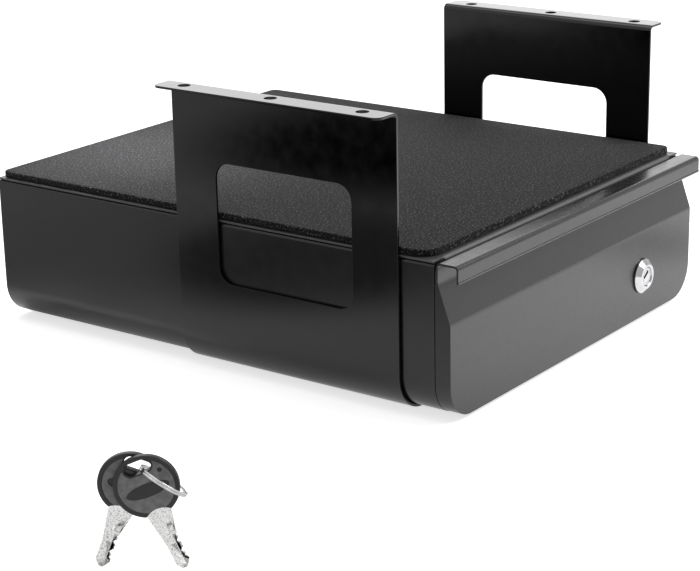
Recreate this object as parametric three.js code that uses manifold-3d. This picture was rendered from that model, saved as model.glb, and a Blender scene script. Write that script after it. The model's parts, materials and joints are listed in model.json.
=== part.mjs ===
// Under desk drawer safe: a folded steel drawer case that hangs in a one-piece cradle below a desk.
// Millimetres, +Z up. The drawer opens towards -Y and +X is to the right of whoever faces it.
// The origin is the middle of the underside of the cradle strap.
import * as THREE from 'three';
import { mergeVertices } from 'three/addons/utils/BufferGeometryUtils.js';
import Module from 'manifold-3d';

const wasm = await Module();
wasm.setup();

// Fits shared by every piece
const restGap = 0.3; // air left between two faces that touch on the real safe
const runningGap = 0.8; // air round a piece that slides or turns
const overrun = 4; // how far a cutter runs past the face that it cuts
const quarterFacets = 6; // flat facets in a quarter of a bend or a round corner
const roundFacets = 24; // flat facets round a turned piece
const pinFacets = 12; // flat facets round a small fastener or its hole

// Case: a shell folded round the sides and bottom, a top panel and a back panel
const caseWidth = 285;
const caseDepth = 336;
const caseHeight = 94;
const caseSheet = 1.2;
const caseBottomRadius = 22;
const caseTopRadius = 2.2;
const caseTopFlange = 12;
const topPanelLip = 7;
const topPanelFold = 1.5;
const topPanelCorner = 2.5;
const backPanelRim = 10;

// Pad on top of the case
const padThickness = 3.9;
const padInset = 4.5;
const padCorner = 12;
const padEdge = 1;

// Cradle: one strip of sheet folded into a U with two outward flanges
const cradleSheet = 1.5;
const cradleSpan = 161;
const cradleHeight = 177;
const cradleSetback = 22.5;
const cradleSideGap = 0.8;
const cradleFlange = 18.5;
const cradleFlangeFold = 3.5;
const cradleFlangeCorner = 5;
const windowPost = 31.5;
const windowSill = 57.5;
const windowHead = 45.5;
const windowCorner = 10;
const hangerHole = 7.5;
const hangerInset = 17;

// Screws that hold the case down in its cradle
const seatScrewShank = 5;
const seatScrewHead = 10;
const seatScrewHeadHeight = 2;
const seatScrewSideInset = 50.5;
const seatScrewEndInset = 28.5;
const shankClearance = 0.3;
const pinShoulderShare = 0.4;
const pinCrownShare = 0.7;

// Drawer front: a folded pan with a slanted upper face and an angle handle along its top edge
const frontSheet = 1.2;
const frontTopDrop = 0.5;
const frontBottomRise = 0.7;
const frontBottomRadius = 21;
const frontRearGap = 0.5;
const frontUpperStand = 2.4;
const frontUpperHeight = 12.3;
const frontSlantHeight = 22.9;
const frontLowerStand = 10.6;
const frontFold = 3;
const handleReach = 16.2;
const handleLip = 10.4;
const handleFold = 1.5;

// Stiffening plate behind the drawer front, and the rivets that tie it to the tray
const linerTopDrop = 19.3;
const linerSetback = 0.8;
const linerCorner = 2;
const rivetShank = 3.2;
const rivetHead = 6.4;
const rivetHeadHeight = 1.1;

// Drawer tray
const traySheet = 1;
const trayFloorRoom = 8;
const trayHeadroom = 10.3;
const trayCorner = 12;
const trayRearRoom = 18;
const trayTab = 12;
const trayTabRise = 15;
const trayTabDrop = 14;
const trayTabRivetShares = [0.2, 0.8];
const trayFrontWallSetback = 18;
const trayWallFlange = 12;
const trayWallFold = 1.6;
const trayWallDrop = 3;
const matThickness = 2;
const matMargin = 1.5;

// Ball slides between the case and the tray
const slideRise = 46.2;
const slideRearRoom = 35;
const slideMouthGap = 0.7;
const slideSheet = 1.2;
const slideSetback = 3;
const outerRailHalfHeight = 13.5;
const outerRailDepth = 9;
const outerRailLip = 1.8;
const innerRailHalfHeight = 8.5;
const railFold = 1.5;
const innerRailLag = 2;
const ballRadius = 1.6;
const ballSeatShare = 0.5;
const ballPitch = 15;
const ballsPerRow = 4;
const cageSheet = 0.8;
const cageLength = 60;
const cageSetback = 124;
const railScrewShank = 4;
const railScrewHead = 7;
const railScrewHeadHeight = 2;
const railScrewInset = 40;

// Cam lock in the drawer front
const lockInset = 64;
const lockRise = 27.8;
const bezelRadius = 11.25;
const bezelFaceRadius = 8.6;
const bezelStand = 3.7;
const bezelEdge = 1;
const bezelChamfer = 0.5;
const barrelRadius = 9.5;
const barrelReach = 7.4;
const plugRadius = 5.7;
const plugRecess = 0.7;
const plugTail = 6;
const keywayWidth = 1.9;
const keywayHeight = 7.6;
const keywayDepth = 9;
const nutAcrossFlats = 24;
const nutThickness = 5;
const camThickness = 2;
const camHubRadius = 8;
const camWidth = 10;
const camReach = 25;
const camScrewShank = 3;
const camScrewLength = 6;
const camScrewHead = 8;
const camScrewHeadHeight = 2;
const camNotchHalfWidth = 30;
const camNotchRear = 13;

// Strike on the case floor that the turned cam goes behind
const strikeSheet = 1.2;
const strikeTop = 10;
const strikeFold = 1.8;
const strikeFoot = 14;
const strikeHalfWidth = 25;
const strikeRivetX = 17;
const strikeHoldGap = 1.1;

// Two keys on a split ring
const keyHeadRadius = 16;
const keyHeadThickness = 3.2;
const keyHeadEdge = 0.5;
const keyRim = 2;
const keyRimDepth = 0.3;
const keyFieldHalfLength = 10.4;
const keyFieldHalfHeight = 3.3;
const keyFieldDepth = 0.6;
const keyFieldDrop = 1.8;
const keySlotWidth = 13.5;
const keySlotHeight = 6.4;
const keySlotPlace = 10.6;
const keySlotEndShare = 0.49;
const keyRootRadius = 6.6;
const keyRootThickness = 2.4;
const keyRootPlace = 19;
const keyBladeLength = 26.5;
const keyBladeWidth = 7.2;
const keyBladeThickness = 1.8;
const keyTipLength = 3;
const keyTipShare = 0.35;
const keyTangThickness = 0.9;
const keyTangRise = 9.6;
const keyGrooveWidth = 1.6;
const keyGrooveInset = 1.2;
const keyGrooveDepth = 0.4;
const keyCutDepth = 2.2;
const keyCutDrop = 1;
const keyCutPlaceShares = [0.2, 0.34, 0.48, 0.62, 0.76];
const keyCutDepthShares = [0.55, 0.9, 0.4, 1, 0.65];
const ringRadius = 12.5;
const ringWireWidth = 1.1;
const ringWireHeight = 2.2;
const ringSplit = 0.25;
const ringHoldX = 1.5;
const ringHoldDrop = 1.25;
const ringDroop = THREE.MathUtils.degToRad(34);
const ringTilt = THREE.MathUtils.degToRad(14);
const keySpread = THREE.MathUtils.degToRad(21.5);
const keysTurn = THREE.MathUtils.degToRad(-53.5);
const keysUpright = THREE.MathUtils.degToRad(90);
const keysX = -370;
const keysY = -87;

// Places worked out from the sizes above
const side = caseWidth / 2;
const caseFront = -(cradleSetback + cradleSpan / 2);
const caseBack = caseFront + caseDepth;
const caseBottom = cradleSheet + restGap;
const caseTop = caseBottom + caseHeight;
const caseFloor = caseBottom + caseSheet;
const shellTop = caseTop - caseSheet - restGap;
const frontTop = caseTop - frontTopDrop;
const frontBottom = caseBottom + frontBottomRise;
const lockX = side - lockInset;
const lockZ = frontBottom + lockRise;
const linerTop = frontTop - linerTopDrop;
const trayBottom = caseFloor + trayFloorRoom;
const trayTop = shellTop - trayHeadroom;
const trayTabBottom = trayBottom + trayTabRise;
const trayTabTop = trayTop - trayTabDrop;
const slideCentreZ = caseBottom + slideRise;
const slideLength = caseDepth - slideSetback - slideRearRoom;
const windowSpan = cradleSpan - windowPost * 2;
const windowTop = cradleHeight - windowHead;
const frontFace = caseFront - frontLowerStand;
const linerBack = caseFront - linerSetback;
const linerFront = linerBack - frontSheet;
const trayFront = linerBack + restGap;
const trayBack = caseBack - trayRearRoom;
const outerRailWeb = side - caseSheet - restGap;
const innerRailWeb = outerRailWeb - outerRailDepth - slideMouthGap;
const innerRailDepth = outerRailDepth - slideSheet - cageSheet - runningGap;
const trayHalfWidth = innerRailWeb - restGap;
const barrelEnd = caseFront + barrelReach;
const camFront = barrelEnd + restGap;
const camBack = camFront + camThickness;

/** A vector at right angles to a direction, on its left. */
const leftOf = ([u, v]) => [-v, u];

/** The unit direction from one corner to the next. */
function directionTo(from, to) {
  const reach = Math.hypot(to[0] - from[0], to[1] - from[1]);
  return [(to[0] - from[0]) / reach, (to[1] - from[1]) / reach];
}

/** The incoming and outgoing directions at a corner of a line; an end of an open line has only one. */
function directionsAt(corners, index, closed) {
  const count = corners.length;
  const hasBefore = closed || index > 0;
  const hasAfter = closed || index < count - 1;
  const before = hasBefore ? directionTo(corners[(index + count - 1) % count], corners[index]) : null;
  const after = hasAfter ? directionTo(corners[index], corners[(index + 1) % count]) : null;
  return [before ?? after, after ?? before];
}

/** The same corners moved to the left by a distance, with bend radii that stay concentric. */
function movedLeft(corners, distance, closed) {
  return corners.map(([u, v, radius = 0], index) => {
    const [before, after] = directionsAt(corners, index, closed);
    const [a, b] = [leftOf(before), leftOf(after)];
    const spread = distance / (1 + a[0] * b[0] + a[1] * b[1]);
    const turn = Math.sign(before[0] * after[1] - before[1] * after[0]);
    const moved = radius > 0 ? Math.max(radius - turn * distance, 0) : 0;
    return [u + (a[0] + b[0]) * spread, v + (a[1] + b[1]) * spread, moved];
  });
}

/** The points of a line through [u, v, radius] corners, with an arc at each corner that has a radius. */
function roundedLine(corners, closed) {
  return corners.flatMap(([u, v, radius = 0], index) => {
    const [before, after] = directionsAt(corners, index, closed);
    const cross = before[0] * after[1] - before[1] * after[0];
    const angle = Math.atan2(Math.abs(cross), before[0] * after[0] + before[1] * after[1]);
    if (radius === 0 || angle === 0) return [[u, v]];
    const turn = Math.sign(cross);
    const tangent = radius * Math.tan(angle / 2);
    const start = [u - before[0] * tangent, v - before[1] * tangent];
    const inward = leftOf(before).map((part) => part * turn * radius);
    const centre = [start[0] + inward[0], start[1] + inward[1]];
    const facets = Math.max(1, Math.ceil((quarterFacets * angle) / (Math.PI / 2)));
    return Array.from({ length: facets + 1 }, (_, step) => {
      const swing = (turn * angle * step) / facets;
      const [c, s] = [Math.cos(swing), Math.sin(swing)];
      return [centre[0] - inward[0] * c + inward[1] * s, centre[1] - inward[0] * s - inward[1] * c];
    });
  });
}

/** A closed outline with round corners, drawn in by a distance. Its corners run anticlockwise. */
const outline = (corners, inset = 0) => roundedLine(movedLeft(corners, inset, true), true);

/** The section of a folded sheet: one face follows the corners and the metal lies on the given side. */
function foldedSheet(corners, thickness, towards) {
  const face = roundedLine(corners, false);
  const otherFace = roundedLine(movedLeft(corners, thickness * towards, false), false);
  return [...face, ...otherFace.reverse()];
}
const toLeft = 1;
const toRight = -1;

/** The corners of an upright box section whose bottom corners have one radius and top corners another. */
function boxSection(halfWidth, bottom, top, bottomRadius, topRadius) {
  return [
    [-halfWidth, bottom, bottomRadius],
    [halfWidth, bottom, bottomRadius],
    [halfWidth, top, topRadius],
    [-halfWidth, top, topRadius],
  ];
}

/** A closed solid from a geometry, with its seams merged and its faces pointing out. */
function solid(geometry) {
  geometry.deleteAttribute('normal');
  geometry.deleteAttribute('uv');
  const merged = mergeVertices(geometry);
  const points = merged.getAttribute('position');
  const corner = (index) => new THREE.Vector3().fromBufferAttribute(points, index);
  let triangles = [];
  let volume = 0;
  for (let at = 0; at < merged.index.count; at += 3) {
    const [a, b, c] = [0, 1, 2].map((offset) => merged.index.getX(at + offset));
    if (a === b || b === c || c === a) continue;
    triangles.push([a, b, c]);
    volume += corner(a).dot(corner(b).cross(corner(c)));
  }
  if (volume < 0) triangles = triangles.map(([a, b, c]) => [a, c, b]);
  const mesh = new wasm.Mesh({
    numProp: 3,
    vertProperties: new Float32Array(points.array),
    triVerts: new Uint32Array(triangles.flat()),
  });
  return new wasm.Manifold(mesh);
}

/** Several solids made one. */
const joined = (...solids) => solids.reduce((whole, next) => whole.add(next));

/** A solid with others cut away. */
const cut = (whole, ...cutters) => cutters.reduce((rest, next) => rest.subtract(next), whole);

const X = new THREE.Vector3(1, 0, 0);
const Y = new THREE.Vector3(0, 1, 0);
const Z = new THREE.Vector3(0, 0, 1);

/** A section drawn in YZ and drawn out along X. */
function alongX(points, from, to) {
  const frame = new THREE.Matrix4().makeBasis(Y, Z, X).setPosition(from, 0, 0);
  return solid(extruded(points, to - from).applyMatrix4(frame));
}

/** A section drawn in XZ and drawn out along Y. */
function alongY(points, from, to) {
  const frame = new THREE.Matrix4().makeBasis(X, Z, Y.clone().negate()).setPosition(0, to, 0);
  return solid(extruded(points, to - from).applyMatrix4(frame));
}

/** An outline drawn in XY and drawn out along Z. */
function alongZ(points, from, to) {
  return solid(extruded(points, to - from).translate(0, 0, from));
}

function extruded(points, depth) {
  const shape = new THREE.Shape(points.map(([u, v]) => new THREE.Vector2(u, v)));
  return new THREE.ExtrudeGeometry(shape, { depth, steps: 1, bevelEnabled: false });
}

/** A block between two corners. */
function block(low, high) {
  const size = high.map((value, index) => value - low[index]);
  const centre = high.map((value, index) => (value + low[index]) / 2);
  return solid(new THREE.BoxGeometry(...size).translate(...centre));
}

/** A turned piece about an upright line: profile points are [radius, z]. */
function turnedZ(profile, x, y, facets = roundFacets) {
  const points = profile.map(([radius, z]) => new THREE.Vector2(radius, z));
  return solid(new THREE.LatheGeometry(points, facets).rotateX(Math.PI / 2).translate(x, y, 0));
}

/** A turned piece about a line that runs front to back: profile points are [radius, y]. */
function turnedY(profile, x, z, facets = roundFacets) {
  const points = profile.map(([radius, y]) => new THREE.Vector2(radius, y));
  return solid(new THREE.LatheGeometry(points, facets).translate(x, 0, z));
}

/** A turned piece about a line that runs left to right: profile points are [radius, x]. */
function turnedX(profile, y, z, facets = roundFacets) {
  const points = profile.map(([radius, x]) => new THREE.Vector2(radius, x));
  return solid(new THREE.LatheGeometry(points, facets).rotateZ(-Math.PI / 2).translate(0, y, z));
}

/** The profile of a plain rod between two places on its axis. */
const rod = (radius, from, to) => [[0, from], [radius, from], [radius, to], [0, to]];

/** The profile of a low domed head on a shank: the head starts at seat and grows towards its crown. */
function headedPin(shankRadius, shankEnd, seat, headRadius, headHeight) {
  const shoulder = seat + headHeight * pinShoulderShare;
  const crown = seat + headHeight;
  return [
    [0, shankEnd], [shankRadius, shankEnd], [shankRadius, seat], [headRadius, seat],
    [headRadius, shoulder], [headRadius * pinCrownShare, crown], [0, crown],
  ];
}

/** Shared steel and finish colours */
const finish = (color, metalness, roughness) => new THREE.MeshStandardMaterial({ color, metalness, roughness });
const powderCoat = finish(0x2b2b2d, 0.35, 0.5);
const zinc = finish(0xb8bbbf, 0.9, 0.4);
const chrome = finish(0xd8dadc, 1, 0.15);
const nickel = finish(0xc4c1b8, 1, 0.3);
const blackSteel = finish(0x17171a, 0.4, 0.45);
const felt = finish(0x4b4b4e, 0, 0.95);
const plastic = finish(0x101012, 0, 0.5);

/** A named mesh from a solid. */
function piece(name, body, material) {
  const { vertProperties, triVerts } = body.getMesh();
  const geometry = new THREE.BufferGeometry();
  geometry.setAttribute('position', new THREE.BufferAttribute(new Float32Array(vertProperties), 3));
  geometry.setIndex(new THREE.BufferAttribute(new Uint32Array(triVerts), 1));
  geometry.computeVertexNormals();
  const mesh = new THREE.Mesh(geometry, material.clone());
  mesh.name = name;
  return mesh;
}

const seatScrewX = side - seatScrewSideInset;
const seatScrewY = cradleSpan / 2 - seatScrewEndInset;
const seatScrewPlaces = [
  [-seatScrewX, -seatScrewY], [seatScrewX, -seatScrewY], [-seatScrewX, seatScrewY], [seatScrewX, seatScrewY],
];
const strikeFront = camFront - strikeHoldGap - strikeSheet;
const strikeRivetPlaces = [-1, 1].map((hand) => [lockX + hand * strikeRivetX, strikeFront + strikeFoot / 2 + strikeSheet]);
const trayTabRivetX = trayHalfWidth - trayTab / 2;
const trayTabRivetZs = trayTabRivetShares.map((share) => trayTabBottom + (trayTabTop - trayTabBottom) * share);
const frontRivetPlaces = [-1, 1].flatMap((hand) => trayTabRivetZs.map((z) => [hand * trayTabRivetX, z]));

/** Case shell: both sides and the bottom are one folded sheet, with inward flanges for the top panel. */
function caseShell() {
  const section = foldedSheet([
    [-side + caseTopFlange, shellTop],
    [-side, shellTop, caseTopRadius],
    [-side, caseBottom, caseBottomRadius],
    [side, caseBottom, caseBottomRadius],
    [side, shellTop, caseTopRadius],
    [side - caseTopFlange, shellTop],
  ], caseSheet, toLeft);
  const drill = (radius) => rod(radius, caseBottom - overrun, caseFloor + overrun);
  return cut(
    alongY(section, caseFront, caseBack),
    ...seatScrewPlaces.map(([x, y]) => turnedZ(drill(seatScrewShank / 2 + shankClearance), x, y, pinFacets)),
    ...strikeRivetPlaces.map(([x, y]) => turnedZ(drill(rivetShank / 2 + shankClearance), x, y, pinFacets)),
  );
}

/** Top panel: lies on the flanges of the shell, with a stiffening fold along its front edge. */
function topPanel() {
  const section = foldedSheet([
    [caseFront, caseTop - topPanelLip],
    [caseFront, caseTop, topPanelFold],
    [caseBack, caseTop],
  ], caseSheet, toRight);
  const plan = outline([
    [-side, caseFront, topPanelCorner], [side, caseFront, topPanelCorner],
    [side, caseBack, topPanelCorner], [-side, caseBack, topPanelCorner],
  ]);
  const inner = side - caseTopFlange - restGap;
  const corners = [-1, 1].map((hand) => block(
    [Math.min(hand * inner, hand * (side + overrun)), caseFront - overrun, caseTop - topPanelLip - overrun],
    [Math.max(hand * inner, hand * (side + overrun)), caseFront + topPanelLip, caseTop - caseSheet],
  ));
  const panel = alongX(section, -side, side).intersect(alongZ(plan, caseTop - topPanelLip - overrun, caseTop + overrun));
  return cut(panel, ...corners);
}

/** Back panel: a shallow pan set into the rear end of the shell. */
function backPanel() {
  const halfWidth = side - caseSheet - restGap;
  const floor = caseFloor + restGap;
  const shoulder = shellTop - caseSheet - restGap;
  const middle = side - caseTopFlange - restGap;
  const top = caseTop - caseSheet - restGap;
  const rim = [
    [-halfWidth, floor, caseBottomRadius - caseSheet - restGap],
    [halfWidth, floor, caseBottomRadius - caseSheet - restGap],
    [halfWidth, shoulder], [middle, shoulder], [middle, top],
    [-middle, top], [-middle, shoulder], [-halfWidth, shoulder],
  ];
  return cut(
    alongY(outline(rim), caseBack - backPanelRim, caseBack),
    alongY(outline(rim, caseSheet), caseBack - backPanelRim - overrun, caseBack - caseSheet),
  );
}

/** Pad: a slab with round corners and a chamfered upper edge. */
function topPad() {
  const plan = [
    [-side + padInset, caseFront + padInset, padCorner], [side - padInset, caseFront + padInset, padCorner],
    [side - padInset, caseBack - padInset, padCorner], [-side + padInset, caseBack - padInset, padCorner],
  ];
  const bottom = caseTop + restGap;
  const top = bottom + padThickness;
  return joined(
    alongZ(outline(plan), bottom, top - padEdge),
    alongZ(outline(plan, padEdge), bottom, top),
  );
}

/** Cradle: the strip is folded along the shell, cut out at both sides and drilled in both flanges. */
function hangingCradle() {
  const inner = side + cradleSideGap;
  const tip = inner + cradleFlange;
  const section = foldedSheet([
    [-tip, cradleHeight],
    [-inner, cradleHeight, cradleFlangeFold],
    [-inner, cradleSheet, caseBottomRadius + restGap],
    [inner, cradleSheet, caseBottomRadius + restGap],
    [inner, cradleHeight, cradleFlangeFold],
    [tip, cradleHeight],
  ], cradleSheet, toRight);
  const front = -cradleSpan / 2;
  const back = cradleSpan / 2;
  const plan = outline([
    [-tip, front, cradleFlangeCorner], [tip, front, cradleFlangeCorner],
    [tip, back, cradleFlangeCorner], [-tip, back, cradleFlangeCorner],
  ]);
  const window = outline([
    [-windowSpan / 2, windowSill, windowCorner], [windowSpan / 2, windowSill, windowCorner],
    [windowSpan / 2, windowTop, windowCorner],
    [-windowSpan / 2, windowTop, windowCorner],
  ]);
  const hangerHoles = [-1, 1].flatMap((hand) => [-1, 0, 1].map((step) => turnedZ(
    rod(hangerHole / 2, cradleHeight - cradleSheet - overrun, cradleHeight + overrun),
    hand * (inner + cradleFlange / 2), step * (cradleSpan / 2 - hangerInset),
  )));
  const seatHoles = seatScrewPlaces.map(([x, y]) => turnedZ(
    rod(seatScrewShank / 2 + shankClearance, -overrun, cradleSheet + overrun), x, y, pinFacets,
  ));
  const strip = alongY(section, front, back).intersect(alongZ(plan, -overrun, cradleHeight + overrun));
  return cut(strip, alongX(window, -tip, tip), ...hangerHoles, ...seatHoles);
}

/** Screw with a low head inside the case, through the case floor and the cradle strap. */
function seatScrew([x, y]) {
  const seat = caseFloor + restGap;
  const profile = headedPin(seatScrewShank / 2, restGap, seat, seatScrewHead / 2, seatScrewHeadHeight);
  return turnedZ(profile, x, y, pinFacets);
}

/** The same section on the right or, mirrored, on the left. */
const handed = (points, hand) => points.map(([x, z]) => [x * hand, z]);

/** Outer rail: a C with small lips, fixed to the case wall with its open side towards the tray. */
function outerRail(hand) {
  const web = outerRailWeb;
  const mouth = web - outerRailDepth;
  const [top, bottom] = [slideCentreZ + outerRailHalfHeight, slideCentreZ - outerRailHalfHeight];
  const section = foldedSheet([
    [mouth, top - outerRailLip], [mouth, top, railFold], [web, top, railFold],
    [web, bottom, railFold], [mouth, bottom, railFold], [mouth, bottom + outerRailLip],
  ], slideSheet, toRight);
  const front = caseFront + slideSetback;
  return alongY(handed(section, hand), front, front + slideLength);
}

const innerRailFront = caseFront + slideSetback + innerRailLag;
const railScrewYs = [innerRailFront + railScrewInset, innerRailFront + slideLength - railScrewInset];

/** Inner rail: a smaller C on the tray wall that runs between the balls. */
function innerRail(hand) {
  const web = innerRailWeb;
  const mouth = web + innerRailDepth;
  const [top, bottom] = [slideCentreZ + innerRailHalfHeight, slideCentreZ - innerRailHalfHeight];
  const section = foldedSheet([
    [mouth, top], [web, top, railFold], [web, bottom, railFold], [mouth, bottom],
  ], slideSheet, toLeft);
  const rail = alongY(handed(section, hand), innerRailFront, innerRailFront + slideLength);
  const drills = railScrewYs.map((y) => turnedX(
    rod(railScrewShank / 2 + shankClearance, hand * web - overrun, hand * web + overrun), y, slideCentreZ, pinFacets,
  ));
  return cut(rail, ...drills);
}

/** Ball cage: a thin C between the rails that carries a row of balls above and below. */
function ballCage(hand) {
  const raceMiddle = (innerRailHalfHeight + outerRailHalfHeight - slideSheet) / 2;
  const arm = raceMiddle + cageSheet / 2;
  const web = outerRailWeb - slideSheet - runningGap;
  const ballX = web - cageSheet - ballRadius;
  const section = foldedSheet([
    [ballX - ballRadius * ballSeatShare, slideCentreZ + arm],
    [web, slideCentreZ + arm, cageSheet],
    [web, slideCentreZ - arm, cageSheet],
    [ballX - ballRadius * ballSeatShare, slideCentreZ - arm],
  ], cageSheet, toRight);
  const front = caseFront + cageSetback;
  const firstBall = front + (cageLength - ballPitch * (ballsPerRow - 1)) / 2;
  const balls = [-1, 1].flatMap((row) => Array.from({ length: ballsPerRow }, (_, index) => solid(
    new THREE.IcosahedronGeometry(ballRadius, 1)
      .translate(hand * ballX, firstBall + index * ballPitch, slideCentreZ + row * raceMiddle),
  )));
  return joined(alongY(handed(section, hand), front, front + cageLength), ...balls);
}

/** Screw from inside the tray through its wall and the inner rail. */
function railScrew(hand, y) {
  const seat = trayHalfWidth - traySheet - restGap;
  const profile = headedPin(
    railScrewShank / 2, -(innerRailWeb + slideSheet + restGap), -seat, railScrewHead / 2, railScrewHeadHeight,
  );
  return turnedX(profile.map(([radius, x]) => [radius, -hand * x]), y, slideCentreZ, pinFacets);
}

/** Strike: an angle on the case floor, drilled for its two rivets. */
function lockStrike() {
  const floor = caseFloor + restGap;
  const section = foldedSheet([
    [strikeFront, strikeTop], [strikeFront, floor, strikeFold], [strikeFront + strikeFoot, floor],
  ], strikeSheet, toLeft);
  const angle = alongX(section, lockX - strikeHalfWidth, lockX + strikeHalfWidth);
  const drill = rod(rivetShank / 2 + shankClearance, floor - overrun, floor + strikeSheet + overrun);
  return cut(angle, ...strikeRivetPlaces.map(([x, y]) => turnedZ(drill, x, y, pinFacets)));
}

/** Rivet through the strike and the case floor. */
function strikeRivet([x, y]) {
  const seat = caseFloor + strikeSheet + restGap * 2;
  const profile = headedPin(rivetShank / 2, caseBottom, seat, rivetHead / 2, rivetHeadHeight);
  return turnedZ(profile, x, y, pinFacets);
}

/** Corners of the drawer front as seen from the front, drawn in by a distance on request. */
const frontShape = boxSection(side, frontBottom, frontTop, frontBottomRadius, 0);

/** Drawer front: a pan whose upper part slants back to a short upright face below the handle. */
function drawerFront() {
  const upper = caseFront - frontUpperStand;
  const slantTop = frontTop - frontUpperHeight;
  const slantBottom = slantTop - frontSlantHeight;
  const faceLine = [
    [frontFace, frontBottom - overrun],
    [frontFace, slantBottom, frontFold],
    [upper, slantTop, frontFold],
    [upper, frontTop + overrun],
  ];
  const rear = caseFront - frontRearGap;
  const filled = (line, back) => [...roundedLine(line, false), [back, frontTop + overrun], [back, frontBottom - overrun]];
  const outer = alongX(filled(faceLine, rear), -side, side)
    .intersect(alongY(outline(frontShape), frontFace - overrun, rear + overrun));
  const hollowShape = boxSection(
    side - frontSheet, frontBottom + frontSheet, frontTop + overrun, frontBottomRadius - frontSheet, 0,
  );
  const hollow = alongX(filled(movedLeft(faceLine, -frontSheet, false), rear + overrun), -side, side)
    .intersect(alongY(outline(hollowShape), frontFace - overrun, rear + overrun));
  const underside = frontTop - frontSheet;
  const handleSection = foldedSheet([
    [upper, slantTop + frontFold],
    [upper, underside, handleFold],
    [caseFront - handleReach + frontSheet, underside, handleFold],
    [caseFront - handleReach + frontSheet, frontTop - handleLip],
  ], frontSheet, toRight);
  const lockHole = turnedY(rod(barrelRadius + shankClearance, frontFace - overrun, frontFace + overrun), lockX, lockZ);
  return cut(joined(cut(outer, hollow), alongX(handleSection, -side, side)), lockHole);
}

/** Liner: a stiffening plate inside the front pan, with room for the lock barrel. */
function frontLiner() {
  const inset = frontSheet + restGap;
  const shape = boxSection(side - inset, frontBottom + inset, linerTop, frontBottomRadius - inset, linerCorner);
  const drill = (radius) => rod(radius, linerFront - overrun, linerBack + overrun);
  return cut(
    alongY(outline(shape), linerFront, linerBack),
    turnedY(drill(nutAcrossFlats / 2 + frontSheet), lockX, lockZ),
    ...frontRivetPlaces.map(([x, z]) => turnedY(drill(rivetShank / 2 + shankClearance), x, z, pinFacets)),
  );
}

/** Rivet through the liner and a front tab of the tray. */
function frontRivet([x, z]) {
  const shankEnd = trayFront + traySheet;
  const profile = headedPin(rivetShank / 2, -shankEnd, -(linerFront - restGap), rivetHead / 2, rivetHeadHeight);
  return turnedY(profile.map(([radius, y]) => [radius, -y]), x, z, pinFacets);
}

/** Tray: floor and sides are one folded sheet, with two front tabs and a notch for the lock cam. */
function drawerTray() {
  const section = foldedSheet([
    [-trayHalfWidth, trayTop], [-trayHalfWidth, trayBottom, trayCorner],
    [trayHalfWidth, trayBottom, trayCorner], [trayHalfWidth, trayTop],
  ], traySheet, toLeft);
  const tabs = [-1, 1].map((hand) => block(
    [Math.min(hand * (trayHalfWidth - trayTab), hand * trayHalfWidth), trayFront, trayTabBottom],
    [Math.max(hand * (trayHalfWidth - trayTab), hand * trayHalfWidth), trayFront + traySheet, trayTabTop],
  ));
  const notch = block(
    [lockX - camNotchHalfWidth, trayFront - overrun, trayBottom - overrun],
    [lockX + camNotchHalfWidth, caseFront + camNotchRear, trayBottom + traySheet + overrun],
  );
  const rivetHoles = frontRivetPlaces.map(([x, z]) => turnedY(
    rod(rivetShank / 2 + shankClearance, trayFront - overrun, trayFront + traySheet + overrun), x, z, pinFacets,
  ));
  const screwHoles = [-1, 1].flatMap((hand) => railScrewYs.map((y) => turnedX(
    rod(railScrewShank / 2 + shankClearance, hand * trayHalfWidth - overrun, hand * trayHalfWidth + overrun),
    y, slideCentreZ, pinFacets,
  )));
  return cut(joined(alongY(section, trayFront, trayBack), ...tabs), notch, ...rivetHoles, ...screwHoles);
}

/** End wall of the tray: a folded plate between its sides, shaped to its round bottom corners. */
function trayWall(face, flangeTowards) {
  const halfWidth = trayHalfWidth - traySheet - restGap;
  const floor = trayBottom + traySheet + restGap;
  const flangeEnd = face + flangeTowards * trayWallFlange;
  const section = foldedSheet([
    [-halfWidth, flangeEnd], [-halfWidth, face, trayWallFold], [halfWidth, face, trayWallFold], [halfWidth, flangeEnd],
  ], traySheet, flangeTowards > 0 ? toLeft : toRight);
  const top = trayTop - trayWallDrop;
  const room = outline(boxSection(halfWidth, floor, top, trayCorner - traySheet - restGap, 0));
  const reach = trayWallFlange + overrun;
  return alongZ(section, floor, top).intersect(alongY(room, face - reach, face + reach));
}

/** Mat: a thin sheet on the flat part of the tray floor. */
function trayMat() {
  const bottom = trayBottom + traySheet + restGap;
  const front = caseFront + trayFrontWallSetback + traySheet;
  return block(
    [-(trayHalfWidth - trayCorner - matMargin), front + matMargin, bottom],
    [trayHalfWidth - trayCorner - matMargin, trayBack - traySheet * 2 - matMargin, bottom + matThickness],
  );
}

/** Lock housing: a coned bezel on the drawer front and a barrel behind it, bored for the plug. */
function lockHousing() {
  const seat = frontFace - restGap;
  const face = seat - bezelStand;
  const bore = plugRadius + shankClearance;
  return turnedY([
    [bore, face + bezelChamfer], [bore + bezelChamfer, face], [bezelFaceRadius - bezelChamfer, face],
    [bezelFaceRadius, face + bezelChamfer], [bezelRadius, seat - bezelEdge], [bezelRadius, seat],
    [barrelRadius, seat], [barrelRadius, barrelEnd], [bore, barrelEnd], [bore, face + bezelChamfer],
  ], lockX, lockZ);
}

/** Nut that clamps the lock housing from behind the drawer front. */
function lockNut() {
  const front = frontFace + frontSheet + restGap;
  const hexFacets = 6;
  const cornerRadius = nutAcrossFlats / 2 / Math.cos(Math.PI / hexFacets);
  return cut(
    turnedY(rod(cornerRadius, front, front + nutThickness), lockX, lockZ, hexFacets),
    turnedY(rod(barrelRadius + shankClearance, front - overrun, front + nutThickness + overrun), lockX, lockZ),
  );
}

const plugFace = frontFace - restGap - bezelStand + plugRecess;
const plugEnd = camBack + restGap;

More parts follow.
